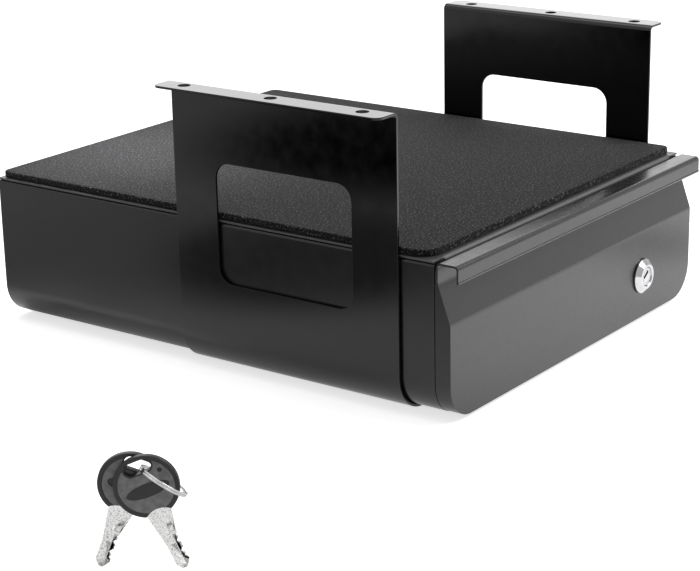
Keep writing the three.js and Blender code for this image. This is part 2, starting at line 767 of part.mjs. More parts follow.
/** Plug: turns in the housing, with a keyway in its face and a square tail for the cam. */
function lockPlug() {
  const half = plugTail / 2;
  const drill = rod(camScrewShank / 2 + shankClearance, plugEnd - camScrewLength - restGap, plugEnd + overrun);
  return cut(
    joined(
      turnedY(rod(plugRadius, plugFace, barrelEnd), lockX, lockZ),
      block([lockX - half, barrelEnd - half, lockZ - half], [lockX + half, plugEnd, lockZ + half]),
    ),
    block(
      [lockX - keywayWidth / 2, plugFace - overrun, lockZ - keywayHeight / 2],
      [lockX + keywayWidth / 2, plugFace + keywayDepth, lockZ + keywayHeight / 2],
    ),
    turnedY(drill, lockX, lockZ, pinFacets),
  );
}

/** Cam: a flat arm on the square tail of the plug, pointing to the left while the drawer is unlocked. */
function lockCam() {
  const tipX = lockX - camReach + camWidth / 2;
  const half = plugTail / 2 + shankClearance;
  return cut(
    joined(
      turnedY(rod(camHubRadius, camFront, camBack), lockX, lockZ),
      turnedY(rod(camWidth / 2, camFront, camBack), tipX, lockZ),
      block([tipX, camFront, lockZ - camWidth / 2], [lockX, camBack, lockZ + camWidth / 2]),
    ),
    block([lockX - half, camFront - overrun, lockZ - half], [lockX + half, camBack + overrun, lockZ + half]),
  );
}

/** Screw that holds the cam on the plug. */
function camScrew() {
  const seat = plugEnd + restGap;
  const profile = headedPin(camScrewShank / 2, plugEnd - camScrewLength, seat, camScrewHead / 2, camScrewHeadHeight);
  return turnedY(profile, lockX, lockZ, pinFacets);
}

/** Head of a key: a round moulded bow with a raised rim, a shallow bare field and a slot for the ring. */
function keyHead() {
  const half = keyHeadThickness / 2;
  const slotEnd = keySlotHeight * keySlotEndShare;
  const slot = outline([
    [-keySlotWidth / 2, keySlotPlace - keySlotHeight / 2, slotEnd],
    [keySlotWidth / 2, keySlotPlace - keySlotHeight / 2, slotEnd],
    [keySlotWidth / 2, keySlotPlace + keySlotHeight / 2, slotEnd],
    [-keySlotWidth / 2, keySlotPlace + keySlotHeight / 2, slotEnd],
  ]);
  const fieldShape = new THREE.Matrix4().makeScale(keyFieldHalfLength, keyFieldHalfHeight, 1);
  const field = (from, to) => solid(
    new THREE.CylinderGeometry(1, 1, to - from, roundFacets)
      .rotateX(Math.PI / 2).applyMatrix4(fieldShape).translate(0, -keyFieldDrop, (from + to) / 2),
  );
  const dish = (from, to) => turnedZ(rod(keyHeadRadius - keyRim, from, to), 0, 0);
  const tangHalf = keyBladeWidth / 2 + restGap;
  return cut(
    turnedZ([
      [0, -half], [keyHeadRadius - keyHeadEdge, -half], [keyHeadRadius, -half + keyHeadEdge],
      [keyHeadRadius, half - keyHeadEdge], [keyHeadRadius - keyHeadEdge, half], [0, half],
    ], 0, 0),
    alongZ(slot, -half - overrun, half + overrun),
    dish(half - keyRimDepth, half + overrun),
    dish(-half - overrun, -half + keyRimDepth),
    field(half - keyFieldDepth, half + overrun),
    field(-half - overrun, -half + keyFieldDepth),
    turnedZ(rod(keyRootRadius + restGap, -half - overrun, half + overrun), 0, -keyRootPlace),
    block(
      [-tangHalf, -keyRootPlace, -keyTangThickness / 2 - restGap],
      [tangHalf, -keyRootPlace + keyTangRise + restGap, keyTangThickness / 2 + restGap],
    ),
  );
}

/** Blade of a key: a round root, a tang inside the head, and a grooved blade with cuts along one edge. */
function keyBlade() {
  const half = keyBladeWidth / 2;
  const flat = keyBladeThickness / 2;
  const tip = -keyRootPlace - keyBladeLength;
  const bladePlan = [
    [-half, -keyRootPlace], [-half, tip + keyTipLength], [-half * keyTipShare, tip], [half * keyTipShare, tip],
    [half, tip + keyTipLength], [half, -keyRootPlace],
  ];
  const cuts = keyCutPlaceShares.map((share, index) => {
    const middle = -keyRootPlace - keyRootRadius - (keyBladeLength - keyRootRadius) * share + keyCutDrop;
    const depth = keyCutDepth * keyCutDepthShares[index];
    const notch = [
      [half - depth, middle], [half + overrun, middle - depth - overrun], [half + overrun, middle + depth + overrun],
    ];
    return alongZ(notch, -flat - overrun, flat + overrun);
  });
  const groove = (from, to) => block(
    [-half + keyGrooveInset, tip - overrun, from],
    [-half + keyGrooveInset + keyGrooveWidth, -keyRootPlace - keyRootRadius, to],
  );
  const bladeCut = cut(
    alongZ(bladePlan, -flat, flat), ...cuts,
    groove(flat - keyGrooveDepth, flat + overrun), groove(-flat - overrun, -flat + keyGrooveDepth),
  );
  return joined(
    bladeCut,
    turnedZ(rod(keyRootRadius, -keyRootThickness / 2, keyRootThickness / 2), 0, -keyRootPlace),
    block(
      [-half, -keyRootPlace, -keyTangThickness / 2],
      [half, -keyRootPlace + keyTangRise, keyTangThickness / 2],
    ),
  );
}

/** Split ring: two flat turns that lie on each other, shown by the groove between them. */
function splitRing() {
  const [inner, outer] = [ringRadius - ringWireWidth / 2, ringRadius + ringWireWidth / 2];
  const half = ringWireHeight / 2;
  return turnedZ([
    [inner, -half], [outer, -half], [outer, -ringSplit], [outer - ringSplit, 0], [outer, ringSplit],
    [outer, half], [inner, half], [inner, -half],
  ], 0, 0);
}

/** The two keys and their ring, set up on the tips of both blades beside the safe. */
function keySet() {
  const group = new THREE.Group();
  const stack = keyHeadThickness + restGap;
  [-1, 1].forEach((hand, index) => {
    const key = new THREE.Group();
    key.add(piece(`key_${index + 1}_head`, keyHead(), plastic));
    key.add(piece(`key_${index + 1}_blade`, keyBlade(), nickel));
    key.children.forEach((child) => child.geometry.translate(0, -keySlotPlace, 0));
    key.rotation.z = hand * keySpread;
    key.position.set(0, 0, index * stack);
    group.add(key);
  });
  const ring = piece('key_ring', splitRing(), chrome);
  ring.rotation.set(Math.PI / 2 - ringTilt, 0, -ringDroop, 'ZYX');
  ring.position.set(
    ringHoldX + ringRadius * Math.cos(ringDroop), -ringHoldDrop - ringRadius * Math.sin(ringDroop), stack / 2,
  );
  group.add(ring);
  group.rotation.set(keysUpright, 0, keysTurn, 'ZYX');
  group.position.set(keysX, keysY, 0);
  group.updateMatrixWorld(true);
  group.position.z = -new THREE.Box3().setFromObject(group, true).min.z;
  return group;
}

const safe = new THREE.Group();
safe.add(
  piece('hanging_cradle', hangingCradle(), powderCoat),
  piece('case_shell', caseShell(), powderCoat),
  piece('top_panel', topPanel(), powderCoat),
  piece('back_panel', backPanel(), powderCoat),
  piece('top_pad', topPad(), felt),
  piece('lock_strike', lockStrike(), zinc),
);
seatScrewPlaces.forEach((place, index) => safe.add(piece(`cradle_screw_${index + 1}`, seatScrew(place), blackSteel)));
strikeRivetPlaces.forEach((place, index) => safe.add(piece(`strike_rivet_${index + 1}`, strikeRivet(place), zinc)));

const drawer = new THREE.Group();
drawer.add(
  piece('drawer_front', drawerFront(), powderCoat),
  piece('front_liner', frontLiner(), powderCoat),
  piece('drawer_tray', drawerTray(), powderCoat),
  piece('tray_front_wall', trayWall(caseFront + trayFrontWallSetback, 1), powderCoat),
  piece('tray_back_wall', trayWall(trayBack - traySheet, -1), powderCoat),
  piece('tray_mat', trayMat(), felt),
  piece('lock_housing', lockHousing(), chrome),
  piece('lock_nut', lockNut(), zinc),
);
frontRivetPlaces.forEach((place, index) => drawer.add(piece(`front_rivet_${index + 1}`, frontRivet(place), zinc)));

[['left', -1], ['right', 1]].forEach(([word, hand]) => {
  safe.add(piece(`slide_rail_${word}`, outerRail(hand), zinc), piece(`ball_cage_${word}`, ballCage(hand), zinc));
  drawer.add(piece(`drawer_rail_${word}`, innerRail(hand), zinc));
  railScrewYs.forEach((y, index) => {
    const place = index === 0 ? 'front' : 'rear';
    drawer.add(piece(`rail_screw_${word}_${place}`, railScrew(hand, y), zinc));
  });
});

const lockRotor = new THREE.Group();
lockRotor.add(
  piece('lock_plug', lockPlug(), chrome),
  piece('lock_cam', lockCam(), zinc),
  piece('cam_screw', camScrew(), zinc),
);
drawer.add(lockRotor);
safe.add(drawer, keySet());

export default safe;
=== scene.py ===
"""Looks of the under desk drawer safe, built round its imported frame.

Every size is in metres and in the frame's own axes: +Z up, the drawer opens towards -Y.
"""
from __future__ import annotations

import json
import logging
import math
from contextlib import contextmanager
from dataclasses import dataclass
from enum import Enum
from typing import Callable, Iterator, Sequence

import bmesh
import bpy
from bpy.types import Material, Node, NodeSocket, Object
from mathutils import Matrix, Vector

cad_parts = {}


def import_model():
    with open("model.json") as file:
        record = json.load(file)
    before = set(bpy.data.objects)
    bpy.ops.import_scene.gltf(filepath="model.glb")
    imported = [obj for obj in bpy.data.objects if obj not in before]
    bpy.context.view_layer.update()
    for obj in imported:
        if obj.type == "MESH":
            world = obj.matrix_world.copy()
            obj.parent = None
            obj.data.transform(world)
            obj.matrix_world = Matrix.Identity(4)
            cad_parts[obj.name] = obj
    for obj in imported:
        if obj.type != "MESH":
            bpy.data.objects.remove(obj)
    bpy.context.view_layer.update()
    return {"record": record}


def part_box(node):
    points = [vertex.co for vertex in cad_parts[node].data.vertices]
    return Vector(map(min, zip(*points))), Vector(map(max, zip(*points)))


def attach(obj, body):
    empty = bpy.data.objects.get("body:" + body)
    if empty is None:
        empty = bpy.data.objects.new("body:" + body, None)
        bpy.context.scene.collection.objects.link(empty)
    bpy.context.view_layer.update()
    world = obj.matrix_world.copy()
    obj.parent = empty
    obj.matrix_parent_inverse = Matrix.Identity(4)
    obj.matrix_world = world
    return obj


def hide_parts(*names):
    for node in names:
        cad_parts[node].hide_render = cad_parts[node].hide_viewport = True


LOG = logging.getLogger("drawer_safe")
MM = 0.001
# Points closer than this are one point.
TOUCH = 1e-6
# A face faces an axis when its normal has at least this share of it.
FACING = 0.9
# Faces that differ by less than this many degrees are merged into one.
FLAT_WITHIN = 0.4
# How much the large faces count in the shading of a corner, in per cent.
FACE_WEIGHT = 80
# Edges sharper than this many degrees stay sharp in the shading.
FELT_SHARP = 40
KEY_SHARP = 30
# Facets of the large bends of the sheets.
BEND = 14
SCREW_ROOM = 0.3 * MM
STRAP_SCREWS = ("cradle_screw_1", "cradle_screw_2", "cradle_screw_3", "cradle_screw_4")

Triple = tuple[float, float, float]
Pair = tuple[float, float]
Point = Sequence[float]


class Axis(Enum):
    """An axis of the frame, by its index."""

    X = 0
    Y = 1
    Z = 2


X, Y, Z = Axis


class Slot(Enum):
    """The material slots of the record that pieces take their finish from."""

    POWDER_COAT = "powder_coat"
    FELT = "felt"
    ZINC = "zinc"
    CHROME = "chrome"
    NICKEL = "nickel"
    BLACK_STEEL = "black_steel"
    KEY_PLASTIC = "key_plastic"


def deselect() -> None:
    """Leaves nothing selected and no object active."""
    for other in bpy.context.selected_objects:
        other.select_set(False)
    bpy.context.view_layer.objects.active = None


def pick(piece: Object) -> None:
    """Makes a piece the only selected object and the active one.

    Args:
        piece: the piece.
    """
    deselect()
    piece.select_set(True)
    bpy.context.view_layer.objects.active = piece


@contextmanager
def editing(piece: Object) -> Iterator[None]:
    """Holds a piece in edit mode with nothing selected, and leaves edit mode at the end.

    Args:
        piece: the piece to edit.
    """
    pick(piece)
    bpy.ops.object.mode_set(mode="EDIT")
    bpy.ops.mesh.select_all(action="DESELECT")
    yield
    bpy.ops.object.mode_set(mode="OBJECT")


def at(value: float, place: float, room: float = 0.05 * MM) -> bool:
    """Whether a value lies at a place."""
    return abs(value - place) < room


@dataclass(frozen=True)
class Edge:
    """An edge of a mesh by its two ends."""

    a: Vector
    b: Vector

    def along(self, axis: Axis) -> bool:
        """Whether it runs along an axis."""
        others = (index for index in range(3) if index != axis.value)
        return all(abs(self.a[index] - self.b[index]) < TOUCH for index in others)

    def on(self, axis: Axis, place: float) -> bool:
        """Whether both ends lie at a place of an axis."""
        return at(self.a[axis.value], place) and at(self.b[axis.value], place)


FaceTest = Callable[[Vector, Vector], bool]
EdgeTest = Callable[[Edge], bool]


def select_all() -> None:
    """Selects the whole mesh in edit mode."""
    bpy.ops.mesh.select_all(action="SELECT")


def select_faces(test: FaceTest) -> None:
    """Selects the faces of the mesh in edit mode whose middle and normal pass a test.

    Args:
        test: takes the middle and the normal of a face.
    """
    bpy.ops.mesh.select_mode(type="FACE")
    bpy.ops.mesh.select_all(action="DESELECT")
    mesh = bpy.context.edit_object.data
    shape = bmesh.from_edit_mesh(mesh)
    for face in shape.faces:
        if test(face.calc_center_median(), face.normal):
            face.select_set(True)
    bmesh.update_edit_mesh(mesh)


def select_edges(test: EdgeTest) -> None:
    """Selects the edges of the mesh in edit mode that pass a test.

    Args:
        test: takes an edge.
    """
    bpy.ops.mesh.select_mode(type="EDGE")
    bpy.ops.mesh.select_all(action="DESELECT")
    mesh = bpy.context.edit_object.data
    shape = bmesh.from_edit_mesh(mesh)
    for edge in shape.edges:
        if test(Edge(edge.verts[0].co, edge.verts[1].co)):
            edge.select_set(True)
    bmesh.update_edit_mesh(mesh)


def drop_faces(test: FaceTest) -> None:
    """Deletes the faces of the mesh in edit mode whose middle and normal pass a test."""
    select_faces(test)
    bpy.ops.mesh.delete(type="FACE")


def round_edges(width: float, segments: int, test: EdgeTest) -> None:
    """Bevels the edges of the mesh in edit mode that pass a test."""
    select_edges(test)
    bpy.ops.mesh.bevel(offset=width, segments=segments, profile=0.5, affect="EDGES", clamp_overlap=False)


def slice_at(axis: Axis, place: float) -> None:
    """Cuts the mesh in edit mode along a plane across an axis, and keeps both sides.

    Args:
        axis: the axis that the plane is square to.
        place: where the plane crosses it.
    """
    way = Vector([float(axis.value == index) for index in range(3)])
    select_all()
    bpy.ops.mesh.bisect(plane_co=way * place, plane_no=way)


def pull(*way: float) -> None:
    """Extrudes the selection of the mesh in edit mode along X, Y and Z."""
    bpy.ops.mesh.extrude_region_move(TRANSFORM_OT_translate={"value": way})


def spun(degrees: float, axis: str) -> Matrix:
    """A turn about an axis."""
    return Matrix.Rotation(math.radians(degrees), 4, axis)


def settled(name: str) -> Object:
    """Names the active object and puts its place, turn and size into its mesh.

    Args:
        name: the name of the piece.

    Returns:
        The object.
    """
    piece = bpy.context.object
    piece.name = name
    piece.data.name = name
    bpy.ops.object.transform_apply(location=True, rotation=True, scale=True)
    return piece


def add_box(name: str, low: Point, high: Point) -> Object:
    """Adds a box between two corners, with its place in its mesh.

    Args:
        name: the name of the piece.
        low: its lower corner.
        high: its upper corner.

    Returns:
        The box.
    """
    deselect()
    size = [h - l for l, h in zip(low, high)]
    middle = [(h + l) / 2 for l, h in zip(low, high)]
    bpy.ops.mesh.primitive_cube_add(size=1, location=middle, scale=size)
    return settled(name)


def add_rod(name: str, radius: float, start: Point, end: Point, sides: int = 64) -> Object:
    """Adds a rod between two points, with its place in its mesh.

    Args:
        name: the name of the piece.
        radius: its radius.
        start: the middle of one end.
        end: the middle of the other end.
        sides: how many sides it has.

    Returns:
        The rod.
    """
    deselect()
    line = Vector(end) - Vector(start)
    bpy.ops.mesh.primitive_cylinder_add(
        vertices=sides,
        radius=radius,
        depth=line.length,
        location=(Vector(start) + Vector(end)) / 2,
        rotation=line.to_track_quat("Z", "Y").to_euler(),
    )
    return settled(name)


def add_oval(name: str, half: Pair, low: Point, depth: float, sides: int = 96) -> Object:
    """Adds an upright oval post by its half sizes, the middle of its lower face and its height.

    Args:
        name: the name of the piece.
        half: its half sizes along X and Y.
        low: the middle of its lower face.
        depth: its height.
        sides: how many sides it has.

    Returns:
        The post.
    """
    deselect()
    x, y, z = low
    bpy.ops.mesh.primitive_cylinder_add(
        vertices=sides, radius=1, depth=1, location=(x, y, z + depth / 2), scale=(*half, depth)
    )
    return settled(name)


def turned(name: str, outline: Sequence[Pair], middle: Point, sides: int = 96) -> Object:
    """Turns a closed outline round an axis along Y, as on a lathe.

    Args:
        name: the name of the piece.
        outline: the radius and the place along Y of every corner, the first one again at the end.
        middle: a point on the axis.
        sides: the facets of the turn.

    Returns:
        The turned piece.
    """
    deselect()
    radius, place = outline[0]
    bpy.ops.mesh.primitive_circle_add(
        vertices=sides,
        radius=radius,
        location=(middle[0], place, middle[2]),
        rotation=(math.radians(90), 0, 0),
    )
    piece = settled(name)
    with editing(piece):
        select_all()
        for next_radius, next_place in outline[1:]:
            pull(0, next_place - place, 0)
            scale = next_radius / radius
            centre = (middle[0], next_place, middle[2])
            bpy.ops.transform.resize(value=(scale, 1, scale), center_override=centre)
            radius, place = next_radius, next_place
        select_all()
        bpy.ops.mesh.remove_doubles(threshold=TOUCH)
        bpy.ops.mesh.normals_make_consistent(inside=False)
    return piece


def apply_all(piece: Object) -> None:
    """Applies every modifier of a piece in order.

    Args:
        piece: the piece with its modifiers.
    """
    pick(piece)
    for modifier in list(piece.modifiers):
        bpy.ops.object.modifier_apply(modifier=modifier.name)


def combine(piece: Object, others: Sequence[Object], operation: str) -> None:
    """Cuts, joins or intersects a piece with solids and removes them.

    Args:
        piece: the piece to work on.
        others: the solids, which are removed.
        operation: the operation of the Boolean modifier.
    """
    for other in others:
        step = piece.modifiers.new("Combine", "BOOLEAN")
        step.operation = operation
        step.solver = "EXACT"
        step.object = other
        apply_all(piece)
        bpy.data.objects.remove(other)


def placed_copy(piece: Object, name: str, place: Matrix) -> Object:
    """A copy of a piece with its own mesh, moved to a place.

    Args:
        piece: the piece to copy.
        name: the name of the copy.
        place: the move to its place.

    Returns:
        The copy.
    """
    copy = bpy.data.objects.new(name, piece.data.copy())
    copy.data.name = name
    copy.data.transform(place)
    bpy.context.scene.collection.objects.link(copy)
    return copy


def merged_copy(node: str, name: str) -> Object:
    """A copy of a frame node with its loose triangles merged into whole faces.

    Args:
        node: the name of the node.
        name: the name of the copy.

    Returns:
        The copy.
    """
    copy = bpy.data.objects.new(name, bpy.data.objects[node].data.copy())
    copy.data.materials.clear()
    bpy.context.scene.collection.objects.link(copy)
    with editing(copy):
        select_all()
        bpy.ops.mesh.remove_doubles(threshold=TOUCH)
        bpy.ops.mesh.dissolve_limited(angle_limit=math.radians(FLAT_WITHIN))
    return copy


def thicken(piece: Object, sheet: float) -> None:
    """Gives an open surface the thickness of sheet metal, behind its faces.

    Args:
        piece: the open surface.
        sheet: the thickness.
    """
    wall = piece.modifiers.new("Sheet", "SOLIDIFY")
    wall.thickness = sheet
    wall.offset = -1
    wall.use_even_offset = True
    apply_all(piece)


def smooth(piece: Object, sharp: float) -> None:
    """Shades a piece smooth, apart from edges sharper than an angle in degrees."""
    pick(piece)
    bpy.ops.object.shade_smooth_by_angle(angle=math.radians(sharp))


def soften(piece: Object, width: float, segments: int = 2, sharp: float = 35) -> None:
    """Rounds every edge sharper than an angle and shades the rest smooth.

    Args:
        piece: the mesh to finish.
        width: how far the rounding reaches on both sides of an edge.
        segments: how many facets the rounding has.
        sharp: the angle in degrees above which an edge counts as sharp.
    """
    rounding = piece.modifiers.new("Edge", "BEVEL")
    rounding.width = width
    rounding.segments = segments
    rounding.limit_method = "ANGLE"
    rounding.angle_limit = math.radians(sharp)
    rounding.use_clamp_overlap = True
    rounding.miter_outer = "MITER_ARC"
    apply_all(piece)
    smooth(piece, sharp)
    flatness = piece.modifiers.new("Flat faces", "WEIGHTED_NORMAL")
    flatness.mode = "FACE_AREA"
    flatness.weight = FACE_WEIGHT
    flatness.keep_sharp = True
    apply_all(piece)


def strap_drills(name: str) -> list[Object]:
    """Drills for the screws between case and cradle, whose shanks are half as wide as their heads.

    Args:
        name: the name of the drills.

    Returns:
        One drill for each screw.
    """
    drills = []
    for node in STRAP_SCREWS:
        low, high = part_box(node)
        x, y, _ = (low + high) / 2
        radius = (high.x - low.x) / 4 + SCREW_ROOM
        drills.append(add_rod(name, radius, (x, y, low.z - MM), (x, y, high.z + MM), 32))
    return drills


class Graph:
    """A node tree under construction."""

    def __init__(self, tree: bpy.types.NodeTree) -> None:
        """Takes the tree to build in."""
        self.tree = tree

    def add(self, kind: str, **values: float) -> Node:
        """Adds a shader node of a kind and sets sockets of it.

        Args:
            kind: its type, without ShaderNode.
            **values: what sockets of it are set to.

        Returns:
            The node.
        """
        node = self.tree.nodes.new(f"ShaderNode{kind}")
        self.set(node, **values)
        return node

    def set(self, node: Node, **values: float | Point) -> None:
        """Sets sockets of a node by their names, with underscores for spaces."""
        for name, value in values.items():
            node.inputs[name.replace("_", " ")].default_value = value

    def link(self, source: NodeSocket, target: NodeSocket) -> None:
        """Links two sockets."""
        self.tree.links.new(source, target)

    def maths(self, operation: str, first: NodeSocket, second: NodeSocket | float) -> NodeSocket:
        """The result of an operation on a value and a second value or plain number.

        Args:
            operation: the operation of a Math node.
            first: the socket of the first value.
            second: the socket of the second value, or a number.

        Returns:
            The result.
        """
        node = self.add("Math")
        node.operation = operation
        self.link(first, node.inputs[0])
        if isinstance(second, NodeSocket):
            self.link(second, node.inputs[1])
        else:
            node.inputs[1].default_value = second
        return node.outputs[0]


class Recipe(Graph):
    """A procedural material under construction: its nodes and what links them."""

    def __init__(self, name: str) -> None:
        """Starts a material with one shader and the piece's own coordinates.

        Args:
            name: the name of the material.
        """
        self.material = bpy.data.materials.new(name)
        self.material.use_nodes = True
        super().__init__(self.material.node_tree)
        self.shader = self.tree.nodes["Principled BSDF"]
        self.place = self.add("TexCoord").outputs["Object"]

    def noise(self, size: float, detail: float, place: NodeSocket | None = None) -> NodeSocket:
        """A noise whose blotches are about one size across, in metres.

        Args:
            size: how large the blotches are.
            detail: how many finer layers it has.
            place: the coordinates, if not the piece's own.

        Returns:
            The noise, from 0 to 1.
        """
        node = self.add("TexNoise", Scale=1 / size, Detail=detail)
        self.link(place or self.place, node.inputs["Vector"])
        return node.outputs["Fac"]

    def stretched(self, scale: Triple) -> NodeSocket:
        """The piece's coordinates scaled along each axis.

        Args:
            scale: the scale along each axis.

        Returns:
            The coordinates.
        """
        node = self.add("Mapping", Scale=scale)
        self.link(self.place, node.inputs["Vector"])
        return node.outputs["Vector"]

    def ramp(self, source: NodeSocket, *stops: tuple[float, Triple]) -> NodeSocket:
        """Turns a value into a colour by stops of place and colour.

        Args:
            source: the value.
            *stops: each a place from 0 to 1 and its colour.

        Returns:
            The colour.
        """
        node = self.add("ValToRGB")
        ends = node.color_ramp.elements
        while len(ends) < len(stops):
            ends.new(0.5)
        for end, (place, colour) in zip(ends, stops):
            end.position = place
            end.color = (*colour, 1)
        self.link(source, node.inputs["Fac"])
        return node.outputs["Color"]

    def span(self, source: NodeSocket, low: float, high: float) -> NodeSocket:
        """Maps a noise from its middle range to a low and a high value.

        Args:
            source: the noise.
            low: the value at its low end.
            high: the value at its high end.

        Returns:
            The value.
        """
        node = self.add("MapRange", From_Min=0.3, From_Max=0.7, To_Min=low, To_Max=high)
        self.link(source, node.inputs["Value"])
        return node.outputs["Result"]

    def bump(
        self, height: NodeSocket, depth: float, strength: float, before: NodeSocket | None = None
    ) -> NodeSocket:
        """A bumped normal from a height, on top of the bump before it.

        Args:
            height: the height, from 0 to 1.
            depth: how deep a height of 1 is.
            strength: how strongly it shows.
            before: the normal of the bump before it.

        Returns:
            The normal.
        """
        node = self.add("Bump", Distance=depth, Strength=strength)
        self.link(height, node.inputs["Height"])
        if before is not None:
            self.link(before, node.inputs["Normal"])
        return node.outputs["Normal"]

    def finished(
        self, colour: NodeSocket, roughness: NodeSocket | None, normal: NodeSocket, **values: float
    ) -> Material:
        """Links colour, roughness and normal to the shader, sets other sockets of it, and ends.

        Args:
            colour: the base colour.
            roughness: the roughness, where it drifts.
            normal: the normal.
            **values: what other sockets of the shader are set to.

        Returns:
            The material.
        """
        self.link(colour, self.shader.inputs["Base Color"])
        if roughness is not None:
            self.link(roughness, self.shader.inputs["Roughness"])
        self.link(normal, self.shader.inputs["Normal"])
        self.set(self.shader, **values)
        return self.material


def scaled(colour: Triple, factor: float) -> Triple:
    """A colour made lighter or darker by a factor."""
    return tuple(part * factor for part in colour)


@dataclass(frozen=True)
class PowderCoat:
    """Satin powder coat: a dark skin with a fine orange peel."""

    name: str
    colour: Triple
    roughness: float
    gloss_ior: float = 1.65
    peel_depth: float = 0.008 * MM
    peel: float = 0.9 * MM
    relief: float = 0.3
    cloud: float = 60 * MM
    haze: float = 9 * MM
    haze_depth: float = 0.025

    def build(self) -> Material:
        """Makes the material.

        Returns:
            The material.
        """
        recipe = Recipe(self.name)
        deep, pale = scaled(self.colour, 0.88), scaled(self.colour, 1.12)
        low, high = self.roughness - self.haze_depth, self.roughness + self.haze_depth
        return recipe.finished(
            recipe.ramp(recipe.noise(self.cloud, 3), (0.3, deep), (0.7, pale)),
            recipe.span(recipe.noise(self.haze, 3), low, high),
            recipe.bump(recipe.noise(self.peel, 1), self.peel_depth, self.relief),
            IOR=self.gloss_ior,
        )


@dataclass(frozen=True)
class SpeckledFelt:
    """Pressed felt: charcoal fibres with paler and darker specks and a soft nap."""

    name: str
    base: Triple = (0.006, 0.006, 0.0066)
    pale: Triple = (0.026, 0.026, 0.0275)
    dark: Triple = (0.001, 0.001, 0.001)
    bright: Triple = (0.16, 0.16, 0.165)
    speck: float = 1.1 * MM
    fibre: float = 0.5 * MM
    fibre_depth: float = 0.25 * MM
    lump: float = 7 * MM
    lump_depth: float = 0.3 * MM

    def build(self) -> Material:
        """Makes the material.

        Returns:
            The material.
        """
        recipe = Recipe(self.name)
        fibres = recipe.noise(self.fibre, 3, recipe.stretched((1, 0.35, 1)))
        nap = recipe.bump(fibres, self.fibre_depth, 0.7)
        return recipe.finished(
            recipe.ramp(
                recipe.noise(self.speck, 4),
                (0.42, self.dark),
                (0.48, self.base),
                (0.53, self.base),
                (0.59, self.pale),
                (0.7, self.bright),
            ),
            None,
            recipe.bump(recipe.noise(self.lump, 2), self.lump_depth, 0.3, nap),
            Roughness=0.95,
            Sheen_Weight=0.1,
            Sheen_Roughness=0.5,
            Specular_IOR_Level=0.1,
        )


@dataclass(frozen=True)
class PlatedMetal:
    """Plated metal: bright, with fine rubbed streaks along one axis and a drifting gloss."""

    name: str
    colour: Triple
    roughness: float
    streak: Triple = (1, 0.04, 1)
    streak_size: float = 0.5 * MM
    streak_depth: float = 0.005 * MM
    cloud: float = 6 * MM

    def build(self) -> Material:
        """Makes the material.

        Returns:
            The material.
        """
        recipe = Recipe(self.name)
        streaks = recipe.noise(self.streak_size, 2, recipe.stretched(self.streak))
        deep = scaled(self.colour, 0.85)
        return recipe.finished(
            recipe.ramp(recipe.noise(self.cloud, 3), (0.3, deep), (0.65, self.colour)),
            recipe.span(streaks, self.roughness * 0.7, self.roughness * 1.3),
            recipe.bump(streaks, self.streak_depth, 0.3),
            Metallic=1.0,
        )


@dataclass(frozen=True)
class BlastedNickel:
    """Nickel silver as key blanks have it: a pale metal with a coarse, sparkling grain."""

    name: str
    pale: Triple = (0.93, 0.93, 0.92)
    deep: Triple = (0.5, 0.5, 0.49)
    roughness: float = 0.3
    grain: float = 0.75 * MM
    grain_depth: float = 0.12 * MM
    haze: float = 4 * MM

    def build(self) -> Material:
        """Makes the material.

        Returns:
            The material.
        """
        recipe = Recipe(self.name)
        grain = recipe.noise(self.grain, 3)
        return recipe.finished(
            recipe.ramp(grain, (0.36, self.deep), (0.5, self.pale), (0.8, self.pale)),
            recipe.span(recipe.noise(self.haze, 2), self.roughness - 0.06, self.roughness + 0.1),
            recipe.bump(grain, self.grain_depth, 0.35),
            Metallic=1.0,
        )


@dataclass(frozen=True)
class MouldedPlastic:
    """Moulded plastic: near black with a fine grain and a soft shine."""

    name: str
    colour: Triple = (0.012, 0.012, 0.014)
    roughness: float = 0.38
    grain: float = 0.35 * MM
    grain_depth: float = 0.02 * MM
    cloud: float = 3 * MM
    haze: float = 1.5 * MM
    haze_depth: float = 0.06

    def build(self) -> Material:
        """Makes the material.

        Returns:
            The material.
        """
        recipe = Recipe(self.name)
        low, high = self.roughness - self.haze_depth, self.roughness + self.haze_depth
        pale = scaled(self.colour, 1.6)
        return recipe.finished(
            recipe.ramp(recipe.noise(self.cloud, 3), (0.35, self.colour), (0.7, pale)),
            recipe.span(recipe.noise(self.haze, 2), low, high),
            recipe.bump(recipe.noise(self.grain, 1), self.grain_depth, 0.4),
        )


